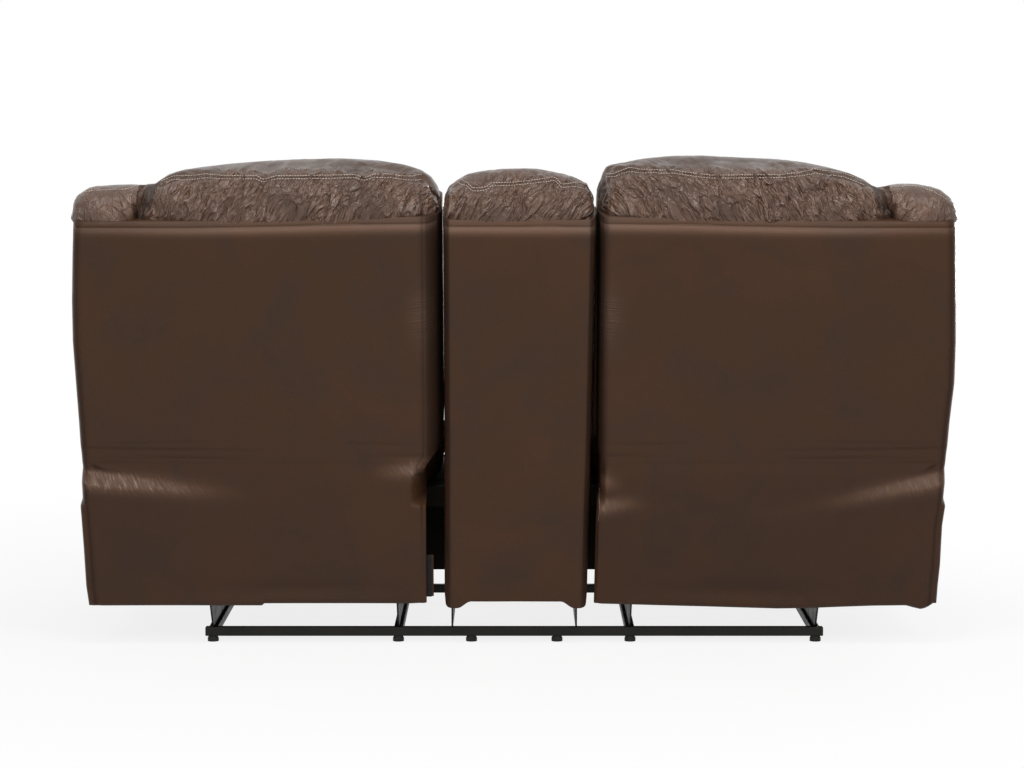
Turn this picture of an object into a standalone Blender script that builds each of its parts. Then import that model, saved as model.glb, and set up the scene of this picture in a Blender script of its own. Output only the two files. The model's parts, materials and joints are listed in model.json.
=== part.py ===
"""Reclining console loveseat: two reclining seats with swing-out footrests beside a centre console.

Metres, +Z up. The sitters face -Y, the tall backs are at +Y, and left is the sitters' left, at +X.
"""

import math

import bmesh
import bpy

# Clearances
FIT = 0.0003
PIN_CLEARANCE = 0.0005
BACK_CLEARANCE = 0.010
CUSHION_CLEARANCE = 0.006

# Widths across the sofa
CONSOLE_WIDTH = 0.304
SEAT_WIDTH = 0.632
ARM_WIDTH = 0.152
BACK_SIDE_GAP = 0.012
BACK_OVERHANG = 0.013
PANEL_INSET = 0.020

# Steel base
GLIDE_RADIUS = 0.0125
GLIDE_HEIGHT = 0.012
RAIL_SIZE = 0.020
RAIL_OVERHANG = 0.017
MECHANISM_WIDTH = 0.416
CONSOLE_GLIDE_X = 0.096
PLATE_THICKNESS = 0.004
REAR_RAIL_INSET = 0.053
FRONT_RAIL_INSET = 0.018

# Recline hinge of the backs
HINGE_Y = 0.333
HINGE_Z = 0.400
LEAN = math.radians(10.45)
BARREL_RADIUS = 0.070
HINGE_PIN_RADIUS = 0.006
HINGE_EAR_RADIUS = 0.025
HINGE_SLOT_HEIGHT = 0.035

# Seat deck and cushion
DECK_HEIGHT = 0.300
DECK_THICKNESS = 0.045
SEAT_DEPTH = 0.571
SEAT_HEIGHT = 0.490
CUSHION_FRONT_REACH = 0.092

# Arms
ARM_BOTTOM = 0.100
ARM_HEIGHT = 0.600
ARM_PAD_THICKNESS = 0.056
ARM_FRONT_REACH = 0.192
ARM_REAR_LEAN = 0.045

# Backs, measured from the recline hinge along the leaning back
BACK_HEIGHT = 0.557
BACK_FRONT = -0.030
PANEL_THICKNESS = 0.0205
CUSHION_FRONT = -0.180
CUSHION_BOTTOM = 0.085
PILLOW_LAP = 0.072
PILLOW_RISE = 0.119
PILLOW_FRONT = -0.165
PILLOW_REAR = 0.064
PILLOW_PEAK_SHARE = 0.35
PILLOW_OUTER_DROP = 0.27
WING_WIDTH = 0.178
WING_BOTTOM = 0.290
WING_RISE = 0.081
WING_FRONT = -0.105

# Skirt hanging below each back
SKIRT_BOTTOM = 0.095
SKIRT_TOP_DROP = 0.042
SKIRT_THICKNESS = 0.012
SKIRT_BULGE = 0.006
SKIRT_FOLDS = 4
SKIRT_HEM_SHARE = 0.5

# Console
CONSOLE_BOTTOM = 0.105
CONSOLE_HEIGHT = 0.545
CONSOLE_WALL = 0.015
CONSOLE_FRONT_REACH = 0.100
BIN_REAR_WALL = 0.100
BIN_FLOOR = 0.020
TRAY_DEPTH = 0.180
TRAY_THICKNESS = 0.008
CUP_RADIUS = 0.042
CUP_WALL = 0.003
CUP_DEPTH = 0.080
LID_THICKNESS = 0.055
LID_ROD_RADIUS = 0.005
LID_ROD_INSET = 0.085
CONSOLE_BACK_DEPTH = 0.100
CONSOLE_PILLOW_RISE = 0.117
CONSOLE_PILLOW_FRONT = -0.075

# Footrest links, closed: the lower link hangs down, the upper one folds back up beside it
LINK_LENGTH = 0.200
LINK_WIDTH = 0.028
LINK_THICKNESS = 0.004
LINK_PIN_RADIUS = 0.005
LINK_SET_BACK = 0.003
LINK_DROP = 0.027
LINK_REST_ANGLE = math.radians(4.0)
BOARD_THICKNESS = 0.015
BOARD_GAP = 0.008
BOARD_ABOVE_PIVOT = 0.022
BOARD_BELOW_PIVOT = 0.263
FOOTREST_PAD_THICKNESS = 0.080
FOOTREST_SIDE_GAP = 0.018

# Release levers on the outer sides of the arms
LEVER_LENGTH = 0.110
LEVER_WIDTH = 0.030
LEVER_THICKNESS = 0.010
LEVER_PIN_RADIUS = 0.008
LEVER_PIN_LENGTH = 0.030
LEVER_Y = -0.060
LEVER_Z = 0.440

# Edge softening of rigid pieces
STEEL_BEVEL = 0.002
WOOD_BEVEL = 0.012

# Facets
PIN_SIDES = 12
ROUND_SIDES = 16
ARC_STEPS = 8

# Places worked out from the sizes above
CONSOLE_SIDE = CONSOLE_WIDTH / 2
ARM_INNER = CONSOLE_SIDE + SEAT_WIDTH
ARM_OUTER = ARM_INNER + ARM_WIDTH
BACK_INNER = CONSOLE_SIDE + BACK_SIDE_GAP
BACK_OUTER = ARM_OUTER + BACK_OVERHANG
SEAT_CENTRE = (CONSOLE_SIDE + ARM_INNER) / 2
INNER_PLATE_X = SEAT_CENTRE - MECHANISM_WIDTH / 2
OUTER_PLATE_X = SEAT_CENTRE + MECHANISM_WIDTH / 2
RAIL_TOP = GLIDE_HEIGHT + FIT + RAIL_SIZE
DECK_TOP = DECK_HEIGHT + DECK_THICKNESS
DECK_REAR = HINGE_Y - BARREL_RADIUS - BACK_CLEARANCE
DECK_FRONT = DECK_REAR - SEAT_DEPTH
REAR_RAIL_Y = HINGE_Y - REAR_RAIL_INSET
FRONT_RAIL_Y = DECK_FRONT + FRONT_RAIL_INSET
ARM_FRONT = DECK_FRONT - ARM_FRONT_REACH
ARM_PAD_TOP = ARM_HEIGHT + ARM_PAD_THICKNESS
CONSOLE_FRONT = DECK_FRONT - CONSOLE_FRONT_REACH
BIN_REAR = DECK_REAR - BIN_REAR_WALL
PILLOW_OUTER = BACK_OUTER - WING_WIDTH
PILLOW_BOTTOM = BACK_HEIGHT - PILLOW_LAP
PILLOW_TOP = BACK_HEIGHT + PILLOW_RISE
WING_TOP = BACK_HEIGHT + WING_RISE
CONSOLE_PILLOW_TOP = BACK_HEIGHT + CONSOLE_PILLOW_RISE
LOWER_PIVOT_Y = DECK_FRONT - LINK_WIDTH / 2 - LINK_SET_BACK
LOWER_PIVOT_Z = DECK_TOP - LINK_DROP
LINK_RUN = LINK_LENGTH * math.sin(LINK_REST_ANGLE)
LINK_FALL = LINK_LENGTH * math.cos(LINK_REST_ANGLE)
LINK_STEP = LINK_THICKNESS + FIT
LID_ROD_Y = DECK_REAR - LID_ROD_INSET
LID_ROD_Z = CONSOLE_HEIGHT + FIT + LID_ROD_RADIUS
TRAY_REAR = CONSOLE_FRONT + TRAY_DEPTH


def material(name, colour, roughness, metallic=0.0):
    """Principled material with one colour."""
    result = bpy.data.materials.new(name)
    result.use_nodes = True
    shader = result.node_tree.nodes["Principled BSDF"]
    shader.inputs["Base Color"].default_value = (*colour, 1.0)
    shader.inputs["Roughness"].default_value = roughness
    shader.inputs["Metallic"].default_value = metallic
    return result


def axis_empty(name, y, z, turn=0.0):
    """Empty on a joint axis that runs along X."""
    empty = bpy.data.objects.new(name, None)
    empty.location = (0.0, y, z)
    empty.rotation_euler = (turn, 0.0, 0.0)
    bpy.context.collection.objects.link(empty)
    return empty


def finish(name, bm, surface, parent=None, bevel=0.0, smooth=False):
    """Turn a mesh in progress into a named piece."""
    bmesh.ops.recalc_face_normals(bm, faces=bm.faces)
    mesh = bpy.data.meshes.new(name)
    bm.to_mesh(mesh)
    bm.free()
    piece = bpy.data.objects.new(name, mesh)
    piece.parent = parent
    bpy.context.collection.objects.link(piece)
    if surface is not None:
        mesh.materials.append(surface)
    if smooth:
        mesh.shade_smooth()
        mesh.set_sharp_from_angle(angle=math.radians(40.0))
    if bevel > 0.0:
        softener = piece.modifiers.new("soft_edges", "BEVEL")
        softener.width = bevel
        softener.segments = 2
        softener.limit_method = "ANGLE"
    return piece


def prism(outline, x_from, x_to):
    """Closed prism: a (y, z) outline carried along X."""
    bm = bmesh.new()
    near = [bm.verts.new((min(x_from, x_to), y, z)) for y, z in outline]
    far = [bm.verts.new((max(x_from, x_to), y, z)) for y, z in outline]
    bm.faces.new(near)
    bm.faces.new(far[::-1])
    for index in range(len(outline)):
        bm.faces.new((near[index - 1], near[index], far[index], far[index - 1]))
    return bm


def turned(profile, x, y, sides=ROUND_SIDES):
    """Solid turned about an upright axis from a (radius, z) profile that runs from bottom to top."""
    bm = bmesh.new()
    rings = []
    for radius, z in profile:
        ring = []
        for step in range(sides):
            angle = 2 * math.pi * step / sides
            ring.append(bm.verts.new((x + radius * math.cos(angle), y + radius * math.sin(angle), z)))
        rings.append(ring)
    bm.faces.new(rings[0][::-1])
    bm.faces.new(rings[-1])
    for lower, upper in zip(rings, rings[1:]):
        for step in range(sides):
            bm.faces.new((lower[step - 1], lower[step], upper[step], upper[step - 1]))
    return bm


def rectangle(y_low, y_high, z_low, z_high):
    """Four corners of an upright rectangle."""
    return [(y_low, z_low), (y_high, z_low), (y_high, z_high), (y_low, z_high)]


def arc(y, z, radius, start, end, steps):
    """Points on an arc in the YZ plane, angles in radians from +Y towards +Z."""
    angles = [start + (end - start) * step / steps for step in range(steps + 1)]
    return [(y + radius * math.cos(angle), z + radius * math.sin(angle)) for angle in angles]


def circle(y, z, radius):
    """Facets of a pin or of the hole it runs in."""
    return arc(y, z, radius, 0.0, 2 * math.pi * (1 - 1 / PIN_SIDES), PIN_SIDES - 1)


def bar(start, end, width):
    """Outline of a flat bar with round ends from one pivot to another."""
    along = math.atan2(end[1] - start[1], end[0] - start[0])
    quarter = math.pi / 2
    tip = arc(*end, width / 2, along - quarter, along + quarter, ARC_STEPS)
    heel = arc(*start, width / 2, along + quarter, along + 3 * quarter, ARC_STEPS)
    return tip + heel


def block(name, low, high, surface, parent=None, bevel=0.0):
    """Box between two corners."""
    bm = prism(rectangle(low[1], high[1], low[2], high[2]), low[0], high[0])
    return finish(name, bm, surface, parent, bevel)


def tool(name, bm, parent=None):
    """Hidden shape that is cut from, or joined to, a piece."""
    shape = finish(name, bm, None, parent)
    shape.hide_render = True
    shape.display_type = "WIRE"
    return shape


def combine(piece, shape, operation):
    """Cut a hidden shape from a piece or join it on."""
    step = piece.modifiers.new(shape.name, "BOOLEAN")
    step.operation = operation
    step.object = shape
    step.solver = "EXACT"


def shell(cells, place):
    """Closed skin of quads over a block of cells; place(a, b, c) puts a point of the -1 to 1 block."""
    bm = bmesh.new()
    corners = {}

    def corner(key):
        if key not in corners:
            shares = [2 * step / count - 1 for step, count in zip(key, cells)]
            corners[key] = bm.verts.new(place(*shares))
        return corners[key]

    for axis in range(3):
        first, second = [other for other in range(3) if other != axis]
        for level in (0, cells[axis]):
            for i in range(cells[first]):
                for j in range(cells[second]):
                    keys = []
                    for di, dj in ((0, 0), (1, 0), (1, 1), (0, 1)):
                        key = [0, 0, 0]
                        key[axis] = level
                        key[first] = i + di
                        key[second] = j + dj
                        keys.append(tuple(key))
                    bm.faces.new([corner(key) for key in keys])
    return bm


def padded_point(low, high, power, pull, rest_axis, rest_side):
    """Placing rule of a crowned pad: full in the middle, drawn in along its sides, flat where it rests."""
    flat_share = 0.86

    def place(a, b, c):
        reach = (abs(a) ** power + abs(b) ** power + abs(c) ** power) ** (1 / power)
        share = [a / reach, b / reach, c / reach]
        waist = [share[0] * (1 - pull * (1 - share[2] ** 2)), share[1], share[2]]
        waist[1] = share[1] * (1 - pull * (1 - share[0] ** 2))
        pressed = max(rest_side * waist[rest_axis], -1.0)
        pressed = min(pressed, flat_share)
        waist[rest_axis] = rest_side * (2 * (pressed + 1) / (flat_share + 1) - 1)
        return [lo + (hi - lo) * (value + 1) / 2 for lo, hi, value in zip(low, high, waist)]

    return place


def mirrored_box(sign, x_inner, x_outer, y_low, y_high, z_low, z_high):
    """Corners of a box given by its distances from the middle, on the left (+1) or right (-1)."""
    edges = sorted((sign * x_inner, sign * x_outer))
    return (edges[0], y_low, z_low), (edges[1], y_high, z_high)


def pad(name, low, high, surface, parent=None, cells=(8, 8, 4), power=6, pull=0.02, rest=(2, -1), shape=None):
    """Crowned pad between two corners, flat on its resting side, with an optional change of shape."""
    rule = padded_point(low, high, power, pull, *rest)

    def place(a, b, c):
        point = rule(a, b, c)
        return shape(point) if shape else point

    return finish(name, shell(cells, place), surface, parent, smooth=True)


def leaning(y, z):
    """World (y, z) of a point given along the leaning back at rest."""
    return (
        HINGE_Y + y * math.cos(LEAN) + z * math.sin(LEAN),
        HINGE_Z - y * math.sin(LEAN) + z * math.cos(LEAN),
    )


def rear_line(z, depth):
    """World y of the leaning rear surface at a height, moved forward by a depth."""
    return HINGE_Y + (BARREL_RADIUS - depth) / math.cos(LEAN) + (z - HINGE_Z) * math.tan(LEAN)


def make_base(steel, rubber):
    """Steel tube rails on round glides, with the upright plates of the console."""
    half_rail = OUTER_PLATE_X + RAIL_OVERHANG
    rail_low = GLIDE_HEIGHT + FIT
    for name, y in (("rear_base_rail", REAR_RAIL_Y), ("front_base_rail", FRONT_RAIL_Y)):
        low = (-half_rail, y - RAIL_SIZE / 2, rail_low)
        high = (half_rail, y + RAIL_SIZE / 2, RAIL_TOP)
        block(name, low, high, steel, bevel=STEEL_BEVEL)
    profile = [(GLIDE_RADIUS, 0.0), (GLIDE_RADIUS, GLIDE_HEIGHT * 0.6), (GLIDE_RADIUS * 0.8, GLIDE_HEIGHT)]
    for side, sign in (("left", 1), ("right", -1)):
        places = (
            ("rear_outer", OUTER_PLATE_X, REAR_RAIL_Y),
            ("rear_inner", INNER_PLATE_X, REAR_RAIL_Y),
            ("rear_console", CONSOLE_GLIDE_X, REAR_RAIL_Y),
            ("front", OUTER_PLATE_X, FRONT_RAIL_Y),
        )
        for place, x, y in places:
            finish(f"{side}_{place}_glide", turned(profile, sign * x, y), rubber, smooth=True)
        for place, x in (("outer", OUTER_PLATE_X), ("inner", INNER_PLATE_X)):
            low = (sign * x - RAIL_SIZE / 2, FRONT_RAIL_Y + RAIL_SIZE / 2 + FIT, rail_low)
            high = (sign * x + RAIL_SIZE / 2, REAR_RAIL_Y - RAIL_SIZE / 2 - FIT, RAIL_TOP)
            block(f"{side}_{place}_base_rail", low, high, steel, bevel=STEEL_BEVEL)
        plate_x = CONSOLE_SIDE - CONSOLE_WALL
        low, high = mirrored_box(
            sign, plate_x, plate_x + PLATE_THICKNESS,
            FRONT_RAIL_Y, REAR_RAIL_Y, RAIL_TOP + FIT, CONSOLE_BOTTOM - FIT,
        )
        block(f"{side}_console_bracket", low, high, steel)


def side_plate_outline():
    """Mechanism side plate: foot on the base rail, front tower for the links, rear ear for the hinge."""
    foot = RAIL_TOP + FIT
    top = DECK_HEIGHT - FIT
    tower_front = LOWER_PIVOT_Y - LINK_WIDTH / 2
    tower_top = LOWER_PIVOT_Z + LINK_WIDTH / 2
    skirt_depth = SKIRT_THICKNESS + FIT
    ear_low = HINGE_Z - BARREL_RADIUS
    ear = arc(HINGE_Y, HINGE_Z, HINGE_EAR_RADIUS, -math.pi / 4, math.pi, ARC_STEPS)
    return [
        (FRONT_RAIL_Y, foot),
        (REAR_RAIL_Y, foot),
        (rear_line(SKIRT_BOTTOM, skirt_depth), SKIRT_BOTTOM),
        (rear_line(ear_low, skirt_depth), ear_low),
        *ear,
        (DECK_REAR + FIT, ear_low),
        (DECK_REAR + FIT, top),
        (DECK_FRONT - FIT, top),
        (DECK_FRONT - FIT, tower_top),
        (tower_front, tower_top),
        (tower_front, LOWER_PIVOT_Z - LINK_WIDTH),
    ]


def make_side_plates(side, sign, steel):
    """Two upright plates that carry the seat, the recline hinge and the footrest links."""
    hole = LINK_PIN_RADIUS + PIN_CLEARANCE
    hinge_hole = HINGE_PIN_RADIUS + PIN_CLEARANCE
    for place, x in (("outer", OUTER_PLATE_X), ("inner", INNER_PLATE_X)):
        low = sign * x - PLATE_THICKNESS / 2
        high = sign * x + PLATE_THICKNESS / 2
        name = f"{side}_{place}_side_plate"
        plate = finish(name, prism(side_plate_outline(), low, high), steel)
        through = (low - PLATE_THICKNESS, high + PLATE_THICKNESS)
        link_hole = prism(circle(LOWER_PIVOT_Y, LOWER_PIVOT_Z, hole), *through)
        combine(plate, tool(f"{name}_link_hole", link_hole), "DIFFERENCE")
        back_hole = prism(circle(HINGE_Y, HINGE_Z, hinge_hole), *through)
        combine(plate, tool(f"{name}_hinge_hole", back_hole), "DIFFERENCE")


def make_seat(side, sign, wood, leather):
    """Seat deck on the side plates, with its cushion."""
    low, high = mirrored_box(
        sign, CONSOLE_SIDE + FIT, ARM_INNER - FIT, DECK_FRONT, DECK_REAR, DECK_HEIGHT, DECK_TOP,
    )
    block(f"{side}_seat_deck", low, high, wood)
    low, high = mirrored_box(
        sign, CONSOLE_SIDE + CUSHION_CLEARANCE, ARM_INNER - CUSHION_CLEARANCE,
        DECK_FRONT - CUSHION_FRONT_REACH, DECK_REAR - CUSHION_CLEARANCE, DECK_TOP + FIT, SEAT_HEIGHT,
    )
    pad(f"{side}_seat_cushion", low, high, leather, cells=(8, 9, 4), power=7, pull=0.012)


def make_arm(side, sign, leather):
    """Arm body beside the seat deck, with a padded top."""
    rear = DECK_REAR
    outline = [
        (ARM_FRONT + WOOD_BEVEL, ARM_BOTTOM),
        (rear, ARM_BOTTOM),
        (rear, HINGE_Z),
        (rear + ARM_REAR_LEAN, ARM_HEIGHT),
        (ARM_FRONT, ARM_HEIGHT),
    ]
    name = f"{side}_arm"
    arm = finish(name, prism(outline, sign * ARM_INNER, sign * ARM_OUTER), leather, bevel=WOOD_BEVEL)
    hole_outline = circle(LEVER_Y, LEVER_Z, LEVER_PIN_RADIUS + PIN_CLEARANCE)
    hole_depth = LEVER_PIN_LENGTH + PIN_CLEARANCE
    hole = prism(hole_outline, sign * (ARM_OUTER - hole_depth), sign * (ARM_OUTER + hole_depth))
    combine(arm, tool(f"{name}_lever_hole", hole), "DIFFERENCE")
    low, high = mirrored_box(
        sign, ARM_INNER, ARM_OUTER, ARM_FRONT, rear + ARM_REAR_LEAN, ARM_HEIGHT + FIT, ARM_PAD_TOP,
    )
    pad(f"{side}_arm_pad", low, high, leather, cells=(5, 12, 3), power=4, pull=0.01)


def make_lever(side, sign, plastic):
    """Release lever that turns on a pin in the outer side of the arm."""
    axis = axis_empty(f"{side}_lever_axis", LEVER_Y, LEVER_Z)
    outline = bar((0.0, 0.0), (-LEVER_LENGTH, 0.0), LEVER_WIDTH)
    face = ARM_OUTER + FIT
    name = f"{side}_release_lever"
    lever = finish(name, prism(outline, sign * face, sign * (face + LEVER_THICKNESS)), plastic, axis)
    reach = ARM_OUTER - LEVER_PIN_LENGTH
    pin = prism(circle(0.0, 0.0, LEVER_PIN_RADIUS), sign * reach, sign * (face + LEVER_THICKNESS / 2))
    combine(lever, tool(f"{name}_pin", pin, axis), "UNION")


def make_back(side, sign, wood, leather):
    """Reclining back: frame on the hinge, outside panel, cushion, head pillow and wing bolster."""
    axis = axis_empty(f"{side}_recline_axis", HINGE_Y, HINGE_Z, -LEAN)
    make_back_frame(side, sign, wood, axis)
    make_back_panel(side, sign, leather, axis)
    front = BACK_FRONT - FIT
    low, high = mirrored_box(
        sign, BACK_INNER + FIT, PILLOW_OUTER - FIT, CUSHION_FRONT, front, CUSHION_BOTTOM, PILLOW_BOTTOM - FIT,
    )
    pad(f"{side}_back_cushion", low, high, leather, axis, cells=(9, 4, 7), power=5, pull=0.015, rest=(1, 1))
    make_head_pillow(side, sign, leather, axis)
    make_wing(side, sign, leather, axis)


def make_back_frame(side, sign, wood, axis):
    """Back frame whose round lower end turns about the hinge, slotted for the ears of the side plates."""
    panel_face = BARREL_RADIUS - PANEL_THICKNESS - FIT
    round_end = arc(0.0, 0.0, BARREL_RADIUS - FIT, 0.0, -math.pi, 2 * ARC_STEPS)
    outline = [
        (BACK_FRONT, BACK_HEIGHT),
        (panel_face, BACK_HEIGHT),
        (panel_face, 0.0),
        *round_end,
        (BACK_FRONT, BARREL_RADIUS),
    ]
    name = f"{side}_back_frame"
    frame = finish(name, prism(outline, sign * BACK_INNER, sign * BACK_OUTER), wood, axis)
    slot_half = PLATE_THICKNESS / 2 + PIN_CLEARANCE
    reach = 2 * BARREL_RADIUS
    for place, x in (("outer", OUTER_PLATE_X), ("inner", INNER_PLATE_X)):
        middle = sign * x
        slot_outline = rectangle(-reach, reach, -reach, HINGE_SLOT_HEIGHT)
        slot = prism(slot_outline, middle - slot_half, middle + slot_half)
        slot_space = tool(f"{name}_{place}_slot", slot, axis)
        pin = prism(circle(0.0, 0.0, HINGE_PIN_RADIUS), middle - 2 * slot_half, middle + 2 * slot_half)
        combine(slot_space, tool(f"{name}_{place}_pin", pin, axis), "DIFFERENCE")
        combine(frame, slot_space, "DIFFERENCE")


def make_back_panel(side, sign, leather, axis):
    """Outside back panel: slightly crowned, with a soft roll along its top edge."""
    inner = BACK_INNER + PANEL_INSET
    outer = BACK_OUTER - PANEL_INSET
    face = BARREL_RADIUS - PANEL_THICKNESS
    roll = 0.3

    def place(a, b, c):
        x = inner + (outer - inner) * (a + 1) / 2
        z = FIT + (BACK_HEIGHT - FIT) * (c + 1) / 2
        edge = max(abs(a), c, 0.0)
        thickness = PANEL_THICKNESS * (1 - roll * edge ** 8)
        return sign * x, face + thickness * (b + 1) / 2, z

    finish(f"{side}_outside_back_panel", shell((6, 1, 6), place), leather, axis, smooth=True)


def frame_space(name, sign, axis):
    """Room that the back frame takes, with a fit gap, for cutting the pads that sit over it."""
    reach = 2 * BARREL_RADIUS
    outline = rectangle(BACK_FRONT - FIT, reach, -reach, BACK_HEIGHT + FIT)
    return tool(name, prism(outline, sign * (BACK_INNER - reach), sign * (BACK_OUTER + reach)), axis)


def make_head_pillow(side, sign, leather, axis):
    """Head pillow that laps over the top of the back, highest towards the console."""
    peak = BACK_INNER + (PILLOW_OUTER - BACK_INNER) * PILLOW_PEAK_SHARE

    def droop(point):
        x, y, z = point
        share = max(abs(x) - peak, 0.0) / (PILLOW_OUTER - peak)
        return x, y, PILLOW_BOTTOM + (z - PILLOW_BOTTOM) * (1 - PILLOW_OUTER_DROP * share ** 2)

    low, high = mirrored_box(
        sign, BACK_INNER - CUSHION_CLEARANCE, PILLOW_OUTER - FIT,
        PILLOW_FRONT, PILLOW_REAR, PILLOW_BOTTOM, PILLOW_TOP,
    )
    name = f"{side}_head_pillow"
    pillow = pad(name, low, high, leather, axis, cells=(12, 6, 5), power=4.5, shape=droop)
    combine(pillow, frame_space(f"{name}_seat", sign, axis), "DIFFERENCE")


def make_wing(side, sign, leather, axis):
    """Wing bolster above the arm, lapping over the outer top corner of the back."""
    low, high = mirrored_box(
        sign, PILLOW_OUTER + FIT, BACK_OUTER + CUSHION_CLEARANCE,
        WING_FRONT, PILLOW_REAR, WING_BOTTOM, WING_TOP,
    )
    name = f"{side}_wing_bolster"
    wing = pad(name, low, high, leather, axis, cells=(5, 5, 7), power=5)
    combine(wing, frame_space(f"{name}_seat", sign, axis), "DIFFERENCE")


def make_skirt(side, sign, leather):
    """Leather skirt that hangs behind the side plates, with a full upper edge and soft upright folds."""
    inner = BACK_INNER + PANEL_INSET
    outer = BACK_OUTER - PANEL_INSET
    top = HINGE_Z - SKIRT_TOP_DROP

    def place(a, b, c):
        x = inner + (outer - inner) * (a + 1) / 2
        z = SKIRT_BOTTOM + (top - SKIRT_BOTTOM) * (c + 1) / 2
        fold = math.cos(math.pi * SKIRT_FOLDS * a) * (1 - c) / 2
        bulge = SKIRT_BULGE * (1 - abs(a) ** 6) * (0.6 + 0.4 * fold) * (1 - c ** 4)
        thickness = SKIRT_THICKNESS * (1 - SKIRT_HEM_SHARE * max(c, 0.0) ** 4)
        depth = thickness * (1 - b) / 2 - bulge * (b + 1) / 2
        return sign * x, rear_line(z, depth), z

    finish(f"{side}_back_skirt", shell((16, 1, 5), place), leather, smooth=True)


def make_console(leather, plastic, steel):
    """Console: storage box, cup tray, hinged lid, leaning back and its pillow."""
    low = (-CONSOLE_SIDE, CONSOLE_FRONT, CONSOLE_BOTTOM)
    high = (CONSOLE_SIDE, DECK_REAR, CONSOLE_HEIGHT)
    box = block("console_box", low, high, leather)
    bin_side = CONSOLE_SIDE - CONSOLE_WALL
    bin_outline = rectangle(
        CONSOLE_FRONT + CONSOLE_WALL, BIN_REAR, CONSOLE_BOTTOM + BIN_FLOOR, CONSOLE_HEIGHT + CONSOLE_WALL,
    )
    combine(box, tool("console_bin_space", prism(bin_outline, -bin_side, bin_side)), "DIFFERENCE")
    make_cup_tray(plastic)
    make_lid(leather, steel)
    make_console_back(leather)


def make_cup_tray(plastic):
    """Moulded tray on the front of the console with two cup wells that hang into the box."""
    bottom = CONSOLE_HEIGHT + FIT
    top = bottom + TRAY_THICKNESS
    low = (-CONSOLE_SIDE, CONSOLE_FRONT, bottom)
    tray = block("cup_holder_tray", low, (CONSOLE_SIDE, TRAY_REAR, top), plastic)
    y = (CONSOLE_FRONT + TRAY_REAR) / 2
    spread = (CONSOLE_SIDE - CONSOLE_WALL) / 2
    floor = top - CUP_DEPTH
    outer = CUP_RADIUS + CUP_WALL
    for side, sign in (("left", 1), ("right", -1)):
        cup = turned([(outer, floor - CUP_WALL), (outer, top - TRAY_THICKNESS / 2)], sign * spread, y)
        combine(tray, tool(f"{side}_cup_wall", cup), "UNION")
    for side, sign in (("left", 1), ("right", -1)):
        well = turned([(CUP_RADIUS, floor), (CUP_RADIUS, top + TRAY_THICKNESS)], sign * spread, y)
        combine(tray, tool(f"{side}_cup_well", well), "DIFFERENCE")


def make_lid(leather, steel):
    """Padded lid that swings up on a rod along its rear edge."""
    axis = axis_empty("lid_axis", LID_ROD_Y, LID_ROD_Z)
    rod_half = CONSOLE_SIDE - CONSOLE_WALL
    finish("console_lid_rod", prism(circle(LID_ROD_Y, LID_ROD_Z, LID_ROD_RADIUS), -rod_half, rod_half), steel)
    front = TRAY_REAR + FIT - LID_ROD_Y
    rear = -LID_ROD_RADIUS - FIT
    bottom = CONSOLE_HEIGHT + FIT - LID_ROD_Z
    low = (-CONSOLE_SIDE, front, bottom)
    high = (CONSOLE_SIDE, rear, bottom + LID_THICKNESS)
    pad("console_lid", low, high, leather, axis, cells=(7, 9, 4), power=7, pull=0.005)


def make_console_back(leather):
    """Leaning back of the console behind its box, with a small pillow on top."""
    front = DECK_REAR + FIT
    outline = [
        (front, CONSOLE_BOTTOM),
        (rear_line(CONSOLE_BOTTOM, 0.0), CONSOLE_BOTTOM),
        leaning(BARREL_RADIUS, BACK_HEIGHT),
        leaning(BARREL_RADIUS - CONSOLE_BACK_DEPTH, BACK_HEIGHT),
        (front, CONSOLE_HEIGHT),
    ]
    finish("console_back", prism(outline, -CONSOLE_SIDE, CONSOLE_SIDE), leather, bevel=WOOD_BEVEL)
    axis = axis_empty("console_back_lean", HINGE_Y, HINGE_Z, -LEAN)
    low = (-CONSOLE_SIDE, CONSOLE_PILLOW_FRONT, BACK_HEIGHT + FIT)
    high = (CONSOLE_SIDE, PILLOW_REAR, CONSOLE_PILLOW_TOP)
    pad("console_head_pillow", low, high, leather, axis, cells=(9, 5, 5), power=4)


def link_layer(sign, plate_x, toward_centre, layer):
    """X span of a link that lies some layers in from its side plate."""
    start = plate_x + toward_centre * (PLATE_THICKNESS / 2 + FIT + (layer - 1) * LINK_STEP)
    return sign * start, sign * (start + toward_centre * LINK_THICKNESS)


def make_link(name, span, end, pin_end, hole_shift, surface, axis):
    """Link between two pivots, with a pin at its own pivot and a hole at the next."""
    link = finish(name, prism(bar((0.0, 0.0), end, LINK_WIDTH), *span), surface, axis)
    pin = prism(circle(0.0, 0.0, LINK_PIN_RADIUS), (span[0] + span[1]) / 2, pin_end)
    combine(link, tool(f"{name}_pin", pin, axis), "UNION")
    hole = prism(circle(*end, LINK_PIN_RADIUS + PIN_CLEARANCE), span[0] - hole_shift, span[1] + hole_shift)
    combine(link, tool(f"{name}_hole", hole, axis), "DIFFERENCE")


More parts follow.
